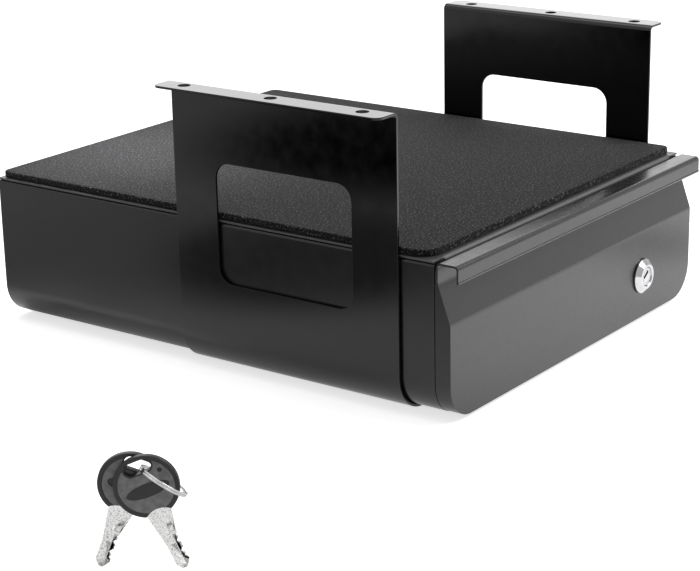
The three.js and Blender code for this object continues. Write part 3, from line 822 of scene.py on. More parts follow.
class Finishes:
    """Every finish of the safe, made once."""

    def __init__(self) -> None:
        """Makes the materials."""
        # The grey is painted sheen on the key heads' grained disc, which is the same black plastic.
        painted_sheen_grey, even = (0.13, 0.13, 0.13), (1, 1, 1)
        # Case, panel, cradle and front wear one black powder coat; their different colours are painted
        # light and shade.
        self.case = PowderCoat("case_powder_coat", (0.004, 0.004, 0.0042), 0.22, 1.51).build()
        # Painted light: the panel's coat is lighter than the case's, standing in for its grazing sheen.
        self.panel = PowderCoat("panel_powder_coat", (0.035, 0.035, 0.0365), 0.42).build()
        # Painted shade: the cradle's coat is a deeper black than the case's; its lower roughness is a
        # real gloss.
        self.cradle = PowderCoat("cradle_powder_coat", (0.0006, 0.0006, 0.0007), 0.13, 1.52).build()
        # Painted light: the front's coat is lighter than the case's, standing in for the light it faces.
        self.front = PowderCoat(
            "front_powder_coat", (0.008, 0.008, 0.0084), 0.26, 1.5, 0.004 * MM
        ).build()
        self.tray = PowderCoat("tray_powder_coat", (0.01, 0.01, 0.0105), 0.32).build()
        self.felt = SpeckledFelt("pad_felt").build()
        self.mat = SpeckledFelt(
            "tray_felt", (0.04, 0.04, 0.043), (0.1, 0.1, 0.105), (0.015, 0.015, 0.017)
        ).build()
        self.zinc = PlatedMetal("bright_zinc", (0.62, 0.63, 0.66), 0.34).build()
        self.chrome = PlatedMetal("polished_chrome", (0.48, 0.48, 0.49), 0.12, even, 1.5 * MM).build()
        self.nickel = BlastedNickel("key_nickel").build()
        self.ring_steel = PlatedMetal("ring_steel", (0.7, 0.7, 0.71), 0.18, even, 1.2 * MM).build()
        self.black_steel = PlatedMetal("black_steel", (0.05, 0.05, 0.053), 0.4).build()
        self.plastic = MouldedPlastic("key_plastic").build()
        # Partly real, partly painted: the grain bump is real, the grey colour is painted sheen.
        self.grain_and_sheen_plastic = MouldedPlastic(
            "key_grained_plastic", painted_sheen_grey, 0.5, 0.6 * MM, 0.2 * MM
        ).build()


def dress(piece: Object, finish: Material, body: str, nodes: Sequence[str]) -> None:
    """Gives a piece its finish and its place in the frame.

    Args:
        piece: the finished mesh.
        finish: its material.
        body: the body it rides on.
        nodes: the frame nodes it stands for.
    """
    piece.data.materials.clear()
    piece.data.materials.append(finish)
    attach(piece, body)
    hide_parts(*nodes)
    LOG.info("%s: %d faces on %s", piece.name, len(piece.data.polygons), body)


@dataclass
class Case:
    """The folded case, its top panel and its felt pad."""

    sheet: float = 1.2 * MM
    bottom_radius: float = 22 * MM
    top_radius: float = 2.2 * MM
    flange: float = 12 * MM
    panel_lip: float = 7 * MM
    panel_fold: float = 2.6 * MM
    pad_corner: float = 12 * MM
    pad_tight_corner: float = 5 * MM
    pad_edge: float = 0.8 * MM
    pad_nap: float = 2.8 * MM
    edge: float = 0.35 * MM
    body: str = "safe_body"

    def build(self, finishes: Finishes) -> None:
        """Makes the shell, the top panel and the pad.

        Args:
            finishes: the finishes of the safe.
        """
        dress(self.shell(), finishes.case, self.body, ["case_shell"])
        dress(self.top_plate(), finishes.panel, self.body, ["top_panel"])
        pad = self.pad()
        dress(pad, finishes.felt, self.body, ["top_pad"])

    def shell(self) -> Object:
        """Folds the sides, bottom and top flanges from one sheet and drills the floor.

        Returns:
            The shell.
        """
        low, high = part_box("case_shell")
        shell = add_box("folded_case_shell", low, high)
        with editing(shell):
            drop_faces(lambda middle, normal: max(abs(normal.y), normal.z) > FACING)
            for hand, rim in ((-1, low.x), (1, high.x)):
                select_edges(lambda e: e.on(Z, high.z) and e.on(X, rim))
                pull(-hand * self.flange, 0, 0)
            round_edges(self.bottom_radius, BEND, lambda e: e.along(Y) and e.on(Z, low.z))
            round_edges(
                self.top_radius,
                5,
                lambda e: e.along(Y) and e.on(Z, high.z) and abs(e.a.x) > high.x - MM,
            )
        thicken(shell, self.sheet)
        combine(shell, strap_drills("case_floor_hole"), "DIFFERENCE")
        soften(shell, self.edge)
        return shell

    def top_plate(self) -> Object:
        """Makes the top panel with its front fold.

        Returns:
            The panel.
        """
        low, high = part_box("top_panel")
        inner = high.x - self.flange
        plate = add_box("top_plate", (low.x, low.y, high.z - self.sheet), high)

        def front(e: Edge) -> bool:
            """Whether an edge lies at the front, between the two flanges."""
            return e.on(Y, low.y) and abs(e.a.x + e.b.x) < inner

        with editing(plate):
            drop_faces(lambda middle, normal: normal.z < FACING)
            for hand in (-1, 1):
                slice_at(X, hand * inner)
            select_edges(front)
            pull(0, 0, -self.panel_lip)
            round_edges(self.panel_fold, 4, lambda e: front(e) and e.on(Z, high.z))
        thicken(plate, self.sheet)
        soften(plate, self.edge)
        return plate

    def pad(self) -> Object:
        """Makes the felt pad with a nap past its solid, round corners and a rolled edge.

        Returns:
            The pad.
        """
        low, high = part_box("top_pad")
        nap = self.pad_nap
        pad = add_box("felt_top_pad", (low.x - nap, low.y, low.z), (high.x + nap, high.y + nap, high.z))
        with editing(pad):
            for radius, segments, hand in ((self.pad_corner, 10, -1), (self.pad_tight_corner, 6, 1)):
                round_edges(radius, segments, lambda e: e.along(Z) and hand * max(e.a.x, e.a.y) > 0)
            round_edges(self.pad_edge, 5, lambda e: e.on(Z, high.z))
            round_edges(self.pad_edge / 3, 2, lambda e: e.on(Z, low.z))
        smooth(pad, FELT_SHARP)
        return pad


@dataclass
class Cradle:
    """The hanging cradle: one strip of sheet, folded, with windows and drilled flanges."""

    sheet: float = 1.5 * MM
    side_gap: float = 0.8 * MM
    bottom_radius: float = 22.3 * MM
    flange_fold: float = 3.5 * MM
    flange_corner: float = 5 * MM
    window_width: float = 98 * MM
    window_height: float = 74 * MM
    window_sill: float = 57.5 * MM
    window_corner: float = 10 * MM
    hole_radius: float = 3.75 * MM
    hole_pitch: float = 63.5 * MM
    hole_edge: float = 9.25 * MM
    edge: float = 0.5 * MM
    body: str = "safe_body"

    def build(self, finishes: Finishes) -> None:
        """Makes the strip."""
        dress(self.strip(), finishes.cradle, self.body, ["hanging_cradle"])

    def strip(self) -> Object:
        """Folds the strip and cuts its windows and holes.

        Returns:
            The strip.
        """
        low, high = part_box("hanging_cradle")
        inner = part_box("case_shell")[1].x + self.side_gap
        strip = add_box("cradle_strip", (-inner, low.y, self.sheet), (inner, high.y, high.z))
        with editing(strip):
            drop_faces(lambda middle, normal: max(abs(normal.y), normal.z) > FACING)
            select_all()
            bpy.ops.mesh.flip_normals()
            for hand in (-1, 1):
                select_edges(lambda e: e.on(Z, high.z) and e.on(X, hand * inner))
                pull(hand * (high.x - inner), 0, 0)
            round_edges(self.bottom_radius, BEND, lambda e: e.along(Y) and e.on(Z, self.sheet))
            round_edges(
                self.flange_fold,
                6,
                lambda e: e.along(Y) and e.on(Z, high.z) and abs(e.a.x) < inner + MM,
            )
        thicken(strip, self.sheet)
        with editing(strip):
            round_edges(
                self.flange_corner,
                8,
                lambda e: e.along(Z) and at(abs(e.a.x), high.x) and at(abs(e.b.x), high.x),
            )
        combine(strip, self.cutters(low, high), "DIFFERENCE")
        soften(strip, self.edge)
        return strip

    def cutters(self, low: Vector, high: Vector) -> list[Object]:
        """The window and the drills.

        Args:
            low: the lower corner of the cradle.
            high: its upper corner.

        Returns:
            The solids to cut away.
        """
        half = self.window_width / 2
        window = add_box(
            "window_cutter",
            (low.x - MM, -half, self.window_sill),
            (high.x + MM, half, self.window_sill + self.window_height),
        )
        with editing(window):
            round_edges(self.window_corner, 10, lambda e: e.along(X))
        drills = []
        for hand in (-1, 1):
            for step in (-1, 0, 1):
                x, y = hand * (high.x - self.hole_edge), step * self.hole_pitch
                start, end = (x, y, high.z - 2 * self.sheet), (x, y, high.z + self.sheet)
                drills.append(add_rod("flange_drill", self.hole_radius, start, end, 48))
        return [window, *drills, *strap_drills("strap_drill")]


@dataclass
class DrawerFront:
    """The folded drawer front with its slant and its angle handle."""

    sheet: float = 1.2 * MM
    liner_gap: float = 0.3 * MM
    bottom_radius: float = 21 * MM
    upper_stand: float = 2.4 * MM
    upper_height: float = 12.3 * MM
    slant_height: float = 22.9 * MM
    lip: float = 10.4 * MM
    lip_set_back: float = 0.35 * MM
    hem_radius: float = 0.8 * MM
    handle_fold: float = 1.5 * MM
    face_fold: float = 3 * MM
    lock_hole: float = 9.8 * MM
    edge: float = 0.4 * MM
    body: str = "drawer"

    def build(self, finishes: Finishes) -> None:
        """Makes the front."""
        dress(self.face(), finishes.front, self.body, ["drawer_front"])

    def face(self) -> Object:
        """Folds the pan, draws the handle out of its top edge and drills it for the lock.

        Returns:
            The front.
        """
        low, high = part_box("drawer_front")
        case_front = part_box("case_shell")[0].y
        upper = case_front - self.upper_stand
        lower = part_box("lock_nut")[0].y - self.liner_gap - self.sheet
        lip_front = low.y + self.lip_set_back
        underside = high.z - self.sheet
        slant_top = high.z - self.upper_height
        slant_bottom = slant_top - self.slant_height

        face = add_box("drawer_face", (low.x, lower, low.z), (high.x, high.y, underside))
        with editing(face):
            slice_at(Z, slant_top)
            slice_at(Z, slant_bottom)
            select_edges(lambda e: e.on(Y, lower) and min(e.a.z, e.b.z) > slant_bottom + MM)
            bpy.ops.transform.translate(value=(0, upper - lower, 0))
            drop_faces(
                lambda middle, normal: max(normal.y, normal.z) > FACING
                or (abs(normal.x) > FACING and middle.z > slant_top)
            )
            select_edges(lambda e: e.along(X) and e.on(Z, underside) and e.on(Y, upper))
            pull(0, lip_front + self.sheet - upper, 0)
            pull(0, 0, self.sheet - self.lip)
            round_edges(self.bottom_radius, BEND, lambda e: e.along(Y) and e.on(Z, low.z))
            round_edges(self.handle_fold, 5, lambda e: e.along(X) and e.on(Z, underside))
            round_edges(
                self.face_fold / 2,
                3,
                lambda e: e.along(X)
                and (e.on(Z, slant_top) or e.on(Z, slant_bottom))
                and abs(e.a.x - e.b.x) > MM,
            )
        thicken(face, self.sheet)
        hem_place = (low.y + self.hem_radius, high.z - self.lip + self.hem_radius)
        hem = add_rod("lip_hem", self.hem_radius, (low.x, *hem_place), (high.x, *hem_place), 24)
        combine(face, [hem], "UNION")
        x, _, z = sum(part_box("lock_housing"), Vector()) / 2
        drill = add_rod("lock_drill", self.lock_hole, (x, lower - MM, z), (x, case_front, z))
        combine(face, [drill], "DIFFERENCE")
        soften(face, self.edge)
        return face


@dataclass
class CamLock:
    """The lock's housing with its coned bezel, and its plug with the keyway."""

    stand: float = 3.7 * MM
    face_radius: float = 8.6 * MM
    barrel_radius: float = 9.5 * MM
    bezel_edge: float = 1 * MM
    chamfer: float = 0.5 * MM
    lip: float = 0.5 * MM
    plug_clearance: float = 0.3 * MM
    tail_share: float = 0.1875
    keyway: Triple = (1.9 * MM, 6.2 * MM, 9 * MM)
    keyway_shift: Triple = (-0.8 * MM, 0, 1.4 * MM)
    keyway_tilt: float = 56
    groove_radius: float = 4.5 * MM
    groove_width: float = 0.35 * MM
    groove_depth: float = 0.25 * MM
    edge: float = 0.18 * MM

    def build(self, finishes: Finishes) -> None:
        """Makes the housing and the plug."""
        dress(self.housing(), finishes.chrome, "drawer", ["lock_housing"])
        dress(self.plug(), finishes.chrome, "lock_rotor", ["lock_plug"])

    def housing(self) -> Object:
        """Turns the bezel and the barrel.

        Returns:
            The housing.
        """
        low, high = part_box("lock_housing")
        bore = self.plug_radius() + self.plug_clearance
        radius = (high.x - low.x) / 2
        face = low.y
        seat = face + self.stand
        outline = [
            (bore, face + self.lip),
            (bore + self.lip, face),
            (self.face_radius - self.chamfer, face),
            (self.face_radius, face + self.chamfer),
            (radius, seat - self.bezel_edge),
            (radius, seat),
            (self.barrel_radius, seat),
            (self.barrel_radius, high.y),
            (bore, high.y),
            (bore, face + self.lip),
        ]
        housing = turned("cam_lock_housing", outline, (low + high) / 2, 128)
        soften(housing, self.edge, 3, 20)
        return housing

    def plug_radius(self) -> float:
        """Half the width of the plug."""
        low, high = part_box("lock_plug")
        return (high.x - low.x) / 2

    def plug(self) -> Object:
        """Turns the plug with its square tail, and cuts the keyway and a fine ring into its face.

        Returns:
            The plug.
        """
        low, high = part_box("lock_plug")
        middle = (low + high) / 2
        x, _, z = middle
        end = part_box("lock_housing")[1].y
        plug = add_rod("cam_lock_plug", self.plug_radius(), (x, low.y, z), (x, end, z), 128)
        tail_low, tail_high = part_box("lock_cam")
        half = (tail_high.z - tail_low.z) * self.tail_share
        tail = add_box("plug_tail", (x - half, end - half, z - half), (x + half, high.y, z + half))
        combine(plug, [tail], "UNION")
        outer, inner = self.groove_radius, self.groove_radius - self.groove_width
        above, floor = low.y - MM, low.y + self.groove_depth
        outline = [(outer, above), (outer, floor), (inner, floor), (inner, above), (outer, above)]
        ring = turned("plug_face_groove", outline, middle)
        width, height, depth = self.keyway
        slot = add_box(
            "keyway_cutter",
            (x - width / 2, above, z - height / 2),
            (x + width / 2, low.y + depth, z + height / 2),
        )
        seat = middle + Vector(self.keyway_shift)
        turn = spun(self.keyway_tilt, "Y")
        slot.data.transform(Matrix.Translation(seat) @ turn @ Matrix.Translation(-middle))
        combine(plug, [ring, slot], "DIFFERENCE")
        soften(plug, self.edge / 2, 2, KEY_SHARP)
        return plug


@dataclass
class KeySet:
    """Two keys on a split ring, standing on their tips beside the safe."""

    stand: Triple = (-370 * MM, -87 * MM, 52.658 * MM)
    turn: float = -53.5
    spread: float = 21.5
    head_radius: float = 16 * MM
    head_thickness: float = 3.2 * MM
    head_edge: float = 0.55 * MM
    head_softness: float = 0.14 * MM
    rim: float = 2.1 * MM
    rim_slope: float = 0.3 * MM
    rim_depth: float = 0.3 * MM
    disc_room: float = 0.03 * MM
    disc_facing: float = 0.95
    stack_gap: float = 0.3 * MM
    field_half: Pair = (10.4 * MM, 3.3 * MM)
    field_depth: float = 0.6 * MM
    field_drop: float = 1.8 * MM
    field_flare: float = 0.13
    slot: Pair = (13.5 * MM, 6.4 * MM)
    slot_place: float = 10.6 * MM
    slot_end: float = 3.13 * MM
    collar: float = 0.8 * MM
    collar_sink: float = 0.05 * MM
    dimple_place: Pair = (9.3 * MM, 5.8 * MM)
    dimple_radius: float = 1.2 * MM
    dimple_depth: float = 0.3 * MM
    root_radius: float = 6.6 * MM
    root_arc: Pair = (16 * MM, 27.8 * MM)
    root_corner: float = 2.3 * MM
    root_sides: Pair = (13 * MM, 7 * MM)
    shield_half: float = 6.2 * MM
    root_thickness: float = 2 * MM
    root_place: float = 19 * MM
    blade_length: float = 26.5 * MM
    blade_width: float = 7.2 * MM
    blade_thickness: float = 1.8 * MM
    blade_softness: float = 0.12 * MM
    tip_length: float = 3 * MM
    tip_share: float = 0.35
    tang_rise: float = 9.6 * MM
    tang_thickness: float = 0.9 * MM
    tang_room: float = 0.3 * MM
    pocket: Triple = (2.4 * MM, 4.4 * MM, 0.9 * MM)
    pocket_place: Pair = (0.9 * MM, 2.4 * MM)
    step_depth: float = 0.35 * MM
    step_gap: float = 1.2 * MM
    groove: Triple = (1.2 * MM, 2.8 * MM, 0.4 * MM)
    cut_reach: float = 4 * MM
    cut_depth: float = 2.2 * MM
    cut_drop: float = 1 * MM
    cut_place_shares: tuple[float, ...] = (0.2, 0.34, 0.48, 0.62, 0.76)
    cut_depth_shares: tuple[float, ...] = (0.55, 0.9, 0.4, 1.0, 0.65)
    ring_radius: float = 12.5 * MM
    ring_wire: Pair = (1.1 * MM, 1.06 * MM)
    ring_wire_corner: float = 0.28 * MM
    ring_height: float = 2.2 * MM
    ring_hold: Pair = (1.5 * MM, 1.25 * MM)
    ring_droop: float = 34
    ring_tilt: float = 14
    ring_step: float = 0.09
    ring_opening: float = 1.3

    def build(self, finishes: Finishes) -> None:
        """Makes one key, sets up a copy of it on each hand, and threads the ring.

        Args:
            finishes: the finishes of the safe.
        """
        head, blade = self.head(), self.blade()
        for index, hand in enumerate((-1, 1)):
            body = f"key_{index + 1}"
            place = self.group() @ self.hang(index, hand)
            grip = placed_copy(head, f"{body}_moulded_head", place)
            dress(grip, finishes.plastic, body, [f"{body}_head"])
            self.grain(grip, finishes.grain_and_sheen_plastic, place)
            steel = placed_copy(blade, f"{body}_cut_blade", place)
            dress(steel, finishes.nickel, body, [f"{body}_blade"])
        for pattern in (head, blade):
            bpy.data.objects.remove(pattern)
        dress(self.ring(), finishes.ring_steel, "ring", ["key_ring"])

    def group(self) -> Matrix:
        """Where the keys stand: upright, and turned to face the front left."""
        return Matrix.Translation(self.stand) @ spun(self.turn, "Z") @ spun(90, "X")

    def hang(self, index: int, hand: int) -> Matrix:
        """Where a key hangs on the ring, by its number and the side its blade points to.

        Args:
            index: the number of the key, from 0.
            hand: the side its blade points to, -1 or 1.

        Returns:
            The move of a key to its place on the ring.
        """
        return (
            Matrix.Translation((0, 0, index * (self.head_thickness + self.stack_gap)))
            @ spun(hand * self.spread, "Z")
            @ Matrix.Translation((0, -self.slot_place, 0))
        )

    def grain(self, head: Object, finish: Material, place: Matrix) -> None:
        """Gives the floor of the sunk disc on both faces of a head its grained finish: a real grain whose
        grey colour is painted sheen.

        Args:
            head: the placed head.
            finish: the grained finish.
            place: the move that placed the head.
        """
        back = place.inverted()
        floor = self.head_thickness / 2 - self.rim_depth
        head.data.materials.append(finish)
        for face in head.data.polygons:
            lean = abs((back.to_3x3() @ face.normal).z)
            if at(abs((back @ face.center).z), floor, self.disc_room) and lean > self.disc_facing:
                face.material_index = 1

    def head(self) -> Object:
        """Moulds the round head: a raised rim, a collared slot, a shallow bare field and a dimple.

        Returns:
            The head, round the origin.
        """
        half = self.head_thickness / 2
        head = add_rod("key_head_pattern", self.head_radius, (0, 0, -half), (0, 0, half), 96)

        def on_rim(point: Vector) -> bool:
            """Whether a point lies on the outer edge of a face."""
            return at(abs(point.z), half) and at(point.xy.length, self.head_radius)

        with editing(head):
            select_faces(lambda middle, normal: abs(normal.z) > FACING)
            bpy.ops.mesh.inset(thickness=self.rim, depth=0)
            bpy.ops.mesh.inset(thickness=self.rim_slope, depth=-self.rim_depth)
            round_edges(self.head_edge, 4, lambda e: on_rim(e.a) and on_rim(e.b) and at(e.a.z, e.b.z))
        combine(head, [self.stadium("slot_collar", self.collar, half - self.collar_sink)], "UNION")
        sunk = (*self.dimple_place, half - self.rim_depth - self.dimple_depth)
        room = self.tang_room
        wide, thick = self.blade_width / 2 + room, self.tang_thickness / 2 + room
        cutters = [
            self.stadium("slot_cutter", 0, half + MM),
            *(self.field_cutter(side, half - self.field_depth) for side in (1, -1)),
            add_oval("dimple_cutter", (self.dimple_radius,) * 2, sunk, MM, 48),
            self.shield("root_cutter", self.stack_gap, half + MM),
            add_box(
                "tang_cutter",
                (-wide, -self.root_place, -thick),
                (wide, self.tang_rise + room - self.root_place, thick),
            ),
        ]
        combine(head, cutters, "DIFFERENCE")
        soften(head, self.head_softness, 2, KEY_SHARP)
        return head

    def field_cutter(self, side: int, floor: float) -> Object:
        """The oval of the bare field on one face, with sides that slope in towards its floor.

        Args:
            side: the face, 1 or -1.
            floor: how far the field's floor lies from the middle of the head.

        Returns:
            The solid to cut away.
        """
        deselect()
        reach = 2 * MM
        bpy.ops.mesh.primitive_cone_add(
            vertices=96,
            radius1=1,
            radius2=1 + self.field_flare * reach / self.field_depth,
            depth=reach,
            location=(0, -self.field_drop, side * (floor + reach / 2)),
            rotation=(0 if side > 0 else math.pi, 0, 0),
            scale=(*self.field_half, 1),
        )
        return settled("field_cutter")

    def shield(self, name: str, margin: float, reach: float) -> Object:
        """The outline of the root: an arc over sides that narrow to the blade, the left one longer.

        Args:
            name: the name of the solid.
            margin: how much larger than the root it is.
            reach: how far it stands to both sides of the key's middle plane.

        Returns:
            The upright solid.
        """
        half = self.blade_width / 2 + margin
        wide = self.shield_half + margin
        top = self.root_radius - self.root_place + margin
        corner = top - self.root_corner
        left_low, right_low = (-self.root_place - side for side in self.root_sides)
        shield = add_box(name, (-wide, left_low, -reach), (wide, top + MM, reach))
        moves = ((1, right_low), (1, left_low), (-1, left_low))
        with editing(shield):
            slice_at(Y, corner)
            slice_at(Y, right_low)
            for side, level in moves:
                select_edges(lambda e: e.on(Y, level) and min(side * e.a.x, side * e.b.x) > 0)
                bpy.ops.transform.translate(value=(side * (half - wide), 0, 0))
            share = (corner - right_low) / (corner - left_low)
            select_edges(lambda e: e.on(Y, right_low) and max(e.a.x, e.b.x) < 0)
            bpy.ops.transform.translate(value=((wide - half) * share, 0, 0))
        arc_foot = (0, top - self.root_arc[1], -reach - MM)
        arc = add_oval("root_arc", self.root_arc, arc_foot, 2 * reach + 2 * MM, 256)
        combine(shield, [arc], "INTERSECT")
        return shield

    def stadium(self, name: str, margin: float, reach: float) -> Object:
        """A post with round ends over the ring slot, larger than the slot by a margin.

        Args:
            name: the name of the post.
            margin: how much larger than the slot it is.
            reach: how far it stands to both sides of the key's middle plane.

        Returns:
            The post.
        """
        half_length, half_height = (size / 2 + margin for size in self.slot)
        post = add_box(
            name,
            (-half_length, self.slot_place - half_height, -reach),
            (half_length, self.slot_place + half_height, reach),
        )
        with editing(post):
            round_edges(self.slot_end + margin, 12, lambda e: e.along(Z))
        return post

    def blade(self) -> Object:
        """Cuts the blade: a shield-shaped root, a milled step down one side and the bitting.

        Returns:
            The blade, below the origin.
        """
        half = self.blade_width / 2
        flat = self.blade_thickness / 2
        root = self.root_thickness / 2
        thin = self.tang_thickness / 2
        tip = -self.root_place - self.blade_length
        blade = self.shield("key_blade_pattern", 0, root)
        shank = add_box("shank", (-half, tip, -flat), (half, -self.root_place, flat))
        with editing(shank):
            slice_at(Y, tip + self.tip_length)
            select_edges(lambda e: e.on(Y, tip))
            bpy.ops.transform.resize(value=(self.tip_share, 1, 1), center_override=(0, tip, 0))
        tang_top = self.tang_rise - self.root_place
        tang = add_box("tang", (-half, -self.root_place, -thin), (half, tang_top, thin))
        combine(blade, [shank, tang], "UNION")
        combine(blade, self.blade_cutters(half, flat, root, tip), "DIFFERENCE")
        soften(blade, self.blade_softness, 2, KEY_SHARP)
        return blade

    def blade_cutters(self, half: float, flat: float, root: float, tip: float) -> list[Object]:
        """The pocket, the milled step, the groove at the back and the bitting.

        Args:
            half: half the blade's width.
            flat: half the blade's thickness.
            root: half the root's thickness.
            tip: where the blade ends.

        Returns:
            The solids to cut away.
        """
        width, length, depth = self.pocket
        left, drop = self.pocket_place
        pocket_top = -self.root_place - drop
        pocket_low = pocket_top - length
        groove_left, groove_right, groove_depth = self.groove
        shoulder = -self.root_place - self.root_radius
        cutters = [
            add_box(
                "pocket_cutter", (left, pocket_low, root - depth), (left + width, pocket_top, root + MM)
            ),
            add_box(
                "step_cutter",
                (left, tip - MM, flat - self.step_depth),
                (half + MM, pocket_low - self.step_gap, root + MM),
            ),
            add_box(
                "rear_groove_cutter",
                (groove_left - half, tip - MM, -root - MM),
                (groove_right - half, shoulder, groove_depth - flat),
            ),
        ]
        run = self.blade_length - self.root_radius
        for place, share in zip(self.cut_place_shares, self.cut_depth_shares):
            x = half - self.cut_depth * share + self.cut_reach
            y = shoulder - run * place + self.cut_drop
            cutters.append(add_rod("bitting", self.cut_reach, (x, y, -2 * root), (x, y, 2 * root), 4))
        return cutters

    def ring(self) -> Object:
        """Coils the split ring: two flat turns of wire that lie on each other, with a short step.

        Returns:
            The ring, in its place.
        """
        deselect()
        bpy.ops.mesh.primitive_plane_add(
            size=1, rotation=(math.radians(90), 0, 0), location=(self.ring_radius, 0, 0)
        )
        bpy.context.object.scale = (*self.ring_wire, 1)
        coil = settled("split_ring_coil")
        with editing(coil):
            bpy.ops.mesh.select_mode(type="VERT")
            select_all()
            bpy.ops.mesh.bevel(offset=self.ring_wire_corner, segments=4, profile=0.5, affect="VERTICES")
            select_all()
            bpy.ops.mesh.delete(type="ONLY_FACE")
        turns = 2 - self.ring_opening * self.ring_step
        sweep = coil.modifiers.new("Coil", "SCREW")
        sweep.angle = turns * math.tau
        sweep.steps = int(96 * turns)
        sweep.render_steps = sweep.steps
        sweep.screw_offset = turns * self.ring_height
        sweep.axis = "Z"
        apply_all(coil)
        self.lay_flat(coil)
        with editing(coil):
            bpy.ops.mesh.select_mode(type="EDGE")
            bpy.ops.mesh.select_non_manifold(extend=False)
            bpy.ops.mesh.edge_face_add()
            select_all()
            bpy.ops.mesh.normals_make_consistent(inside=False)
        smooth(coil, KEY_SHARP)
        droop = math.radians(self.ring_droop)
        hold = (
            self.ring_hold[0] + self.ring_radius * math.cos(droop),
            -self.ring_hold[1] - self.ring_radius * math.sin(droop),
            (self.head_thickness + self.stack_gap) / 2,
        )
        coil.data.transform(
            self.group()
            @ Matrix.Translation(hold)
            @ spun(-self.ring_droop, "Z")
            @ spun(90 - self.ring_tilt, "X")
        )
        return coil

    def lay_flat(self, coil: Object) -> None:
        """Presses the even climb of the coil into two flat turns with one step between them.

        Args:
            coil: the coil as it was wound.
        """
        climb = self.ring_height
        whole_turn = 0.999
        level = self.ring_height - self.ring_wire[1]
        for vertex in coil.data.vertices:
            share = (math.atan2(vertex.co.y, vertex.co.x) / math.tau) % 1
            whole = round((vertex.co.z - share * climb) / climb)
            if share > whole_turn and whole < 0:
                share, whole = 0, 0
            wound = whole + share
            rise = min(max((wound - 1 + self.ring_step) / self.ring_step, 0), 1)
            eased = rise * rise * (3 - 2 * rise)
            vertex.co.z += eased * level - wound * climb - level / 2


@dataclass
class TrayMat:
    """The felt mat on the floor of the tray."""

    corner: float = 4 * MM
    edge: float = 0.7 * MM

    def build(self, finishes: Finishes) -> None:
        """Makes the mat with round corners and a rolled edge.

        Args:
            finishes: the finishes of the safe.
        """
        low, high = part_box("tray_mat")
        mat = add_box("felt_tray_mat", low, high)
        with editing(mat):
            round_edges(self.corner, 6, lambda e: e.along(Z))
            round_edges(self.edge, 4, lambda e: e.on(Z, high.z))
        smooth(mat, FELT_SHARP)
        dress(mat, finishes.mat, "drawer", ["tray_mat"])


class CarriedNodes:
    """The nodes whose shape is right as it is: each gets a copy with whole faces and round edges."""

    def __init__(self, finishes: Finishes) -> None:
        """Notes which finish each slot of the record takes.

        Args:
            finishes: the finishes of the safe.
        """
        self.finishes = {
            Slot.POWDER_COAT: finishes.tray,
            Slot.FELT: finishes.mat,
            Slot.ZINC: finishes.zinc,
            Slot.CHROME: finishes.chrome,
            Slot.NICKEL: finishes.nickel,
            Slot.BLACK_STEEL: finishes.black_steel,
            Slot.KEY_PLASTIC: finishes.plastic,
        }

    def build(self, record: dict, edge: float = 0.15 * MM) -> None:
        """Makes a finished copy of every node that no other piece stands for.

        Args:
            record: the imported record.
            edge: how far the rounding of their edges reaches.
        """
        slots = {row["node"]: Slot(row["material_slot"]) for row in record["subparts"]}
        bodies = {node: body for body, nodes in record["behaviour"]["bodies"].items() for node in nodes}
        for node, slot in slots.items():
            if bpy.data.objects[node].hide_render:
                continue
            copy = merged_copy(node, f"{node}_finished")
            soften(copy, edge, 2, 40)
            dress(copy, self.finishes[slot], bodies[node], [node])


@dataclass(frozen=True)
class Patch:
    """A round patch painted on the table, seen only where a shiny surface mirrors it: a glowing one
    paints reflected light, a dark one paints reflected shade.

    Its middle is a point of the floor, its reach says where it starts to fade and where it ends,
    and its level is how strong it is.
    """

    middle: Pair
    reach: Pair
    level: float

    def strength(self, recipe: Recipe) -> NodeSocket:
        """How strong the patch is at a point of the floor.

        Args:
            recipe: the floor's material.

        Returns:
            The strength.
        """
        away = recipe.add("VectorMath")
        away.operation = "DISTANCE"
        away.inputs[1].default_value = (*self.middle, 0)
        recipe.link(recipe.place, away.inputs[0])
        start, end = self.reach
        fade = recipe.add("MapRange", From_Min=start, From_Max=end, To_Min=self.level, To_Max=0)
        fade.interpolation_type = "SMOOTHSTEP"
        recipe.link(away.outputs["Value"], fade.inputs["Value"])
        return fade.outputs["Result"]


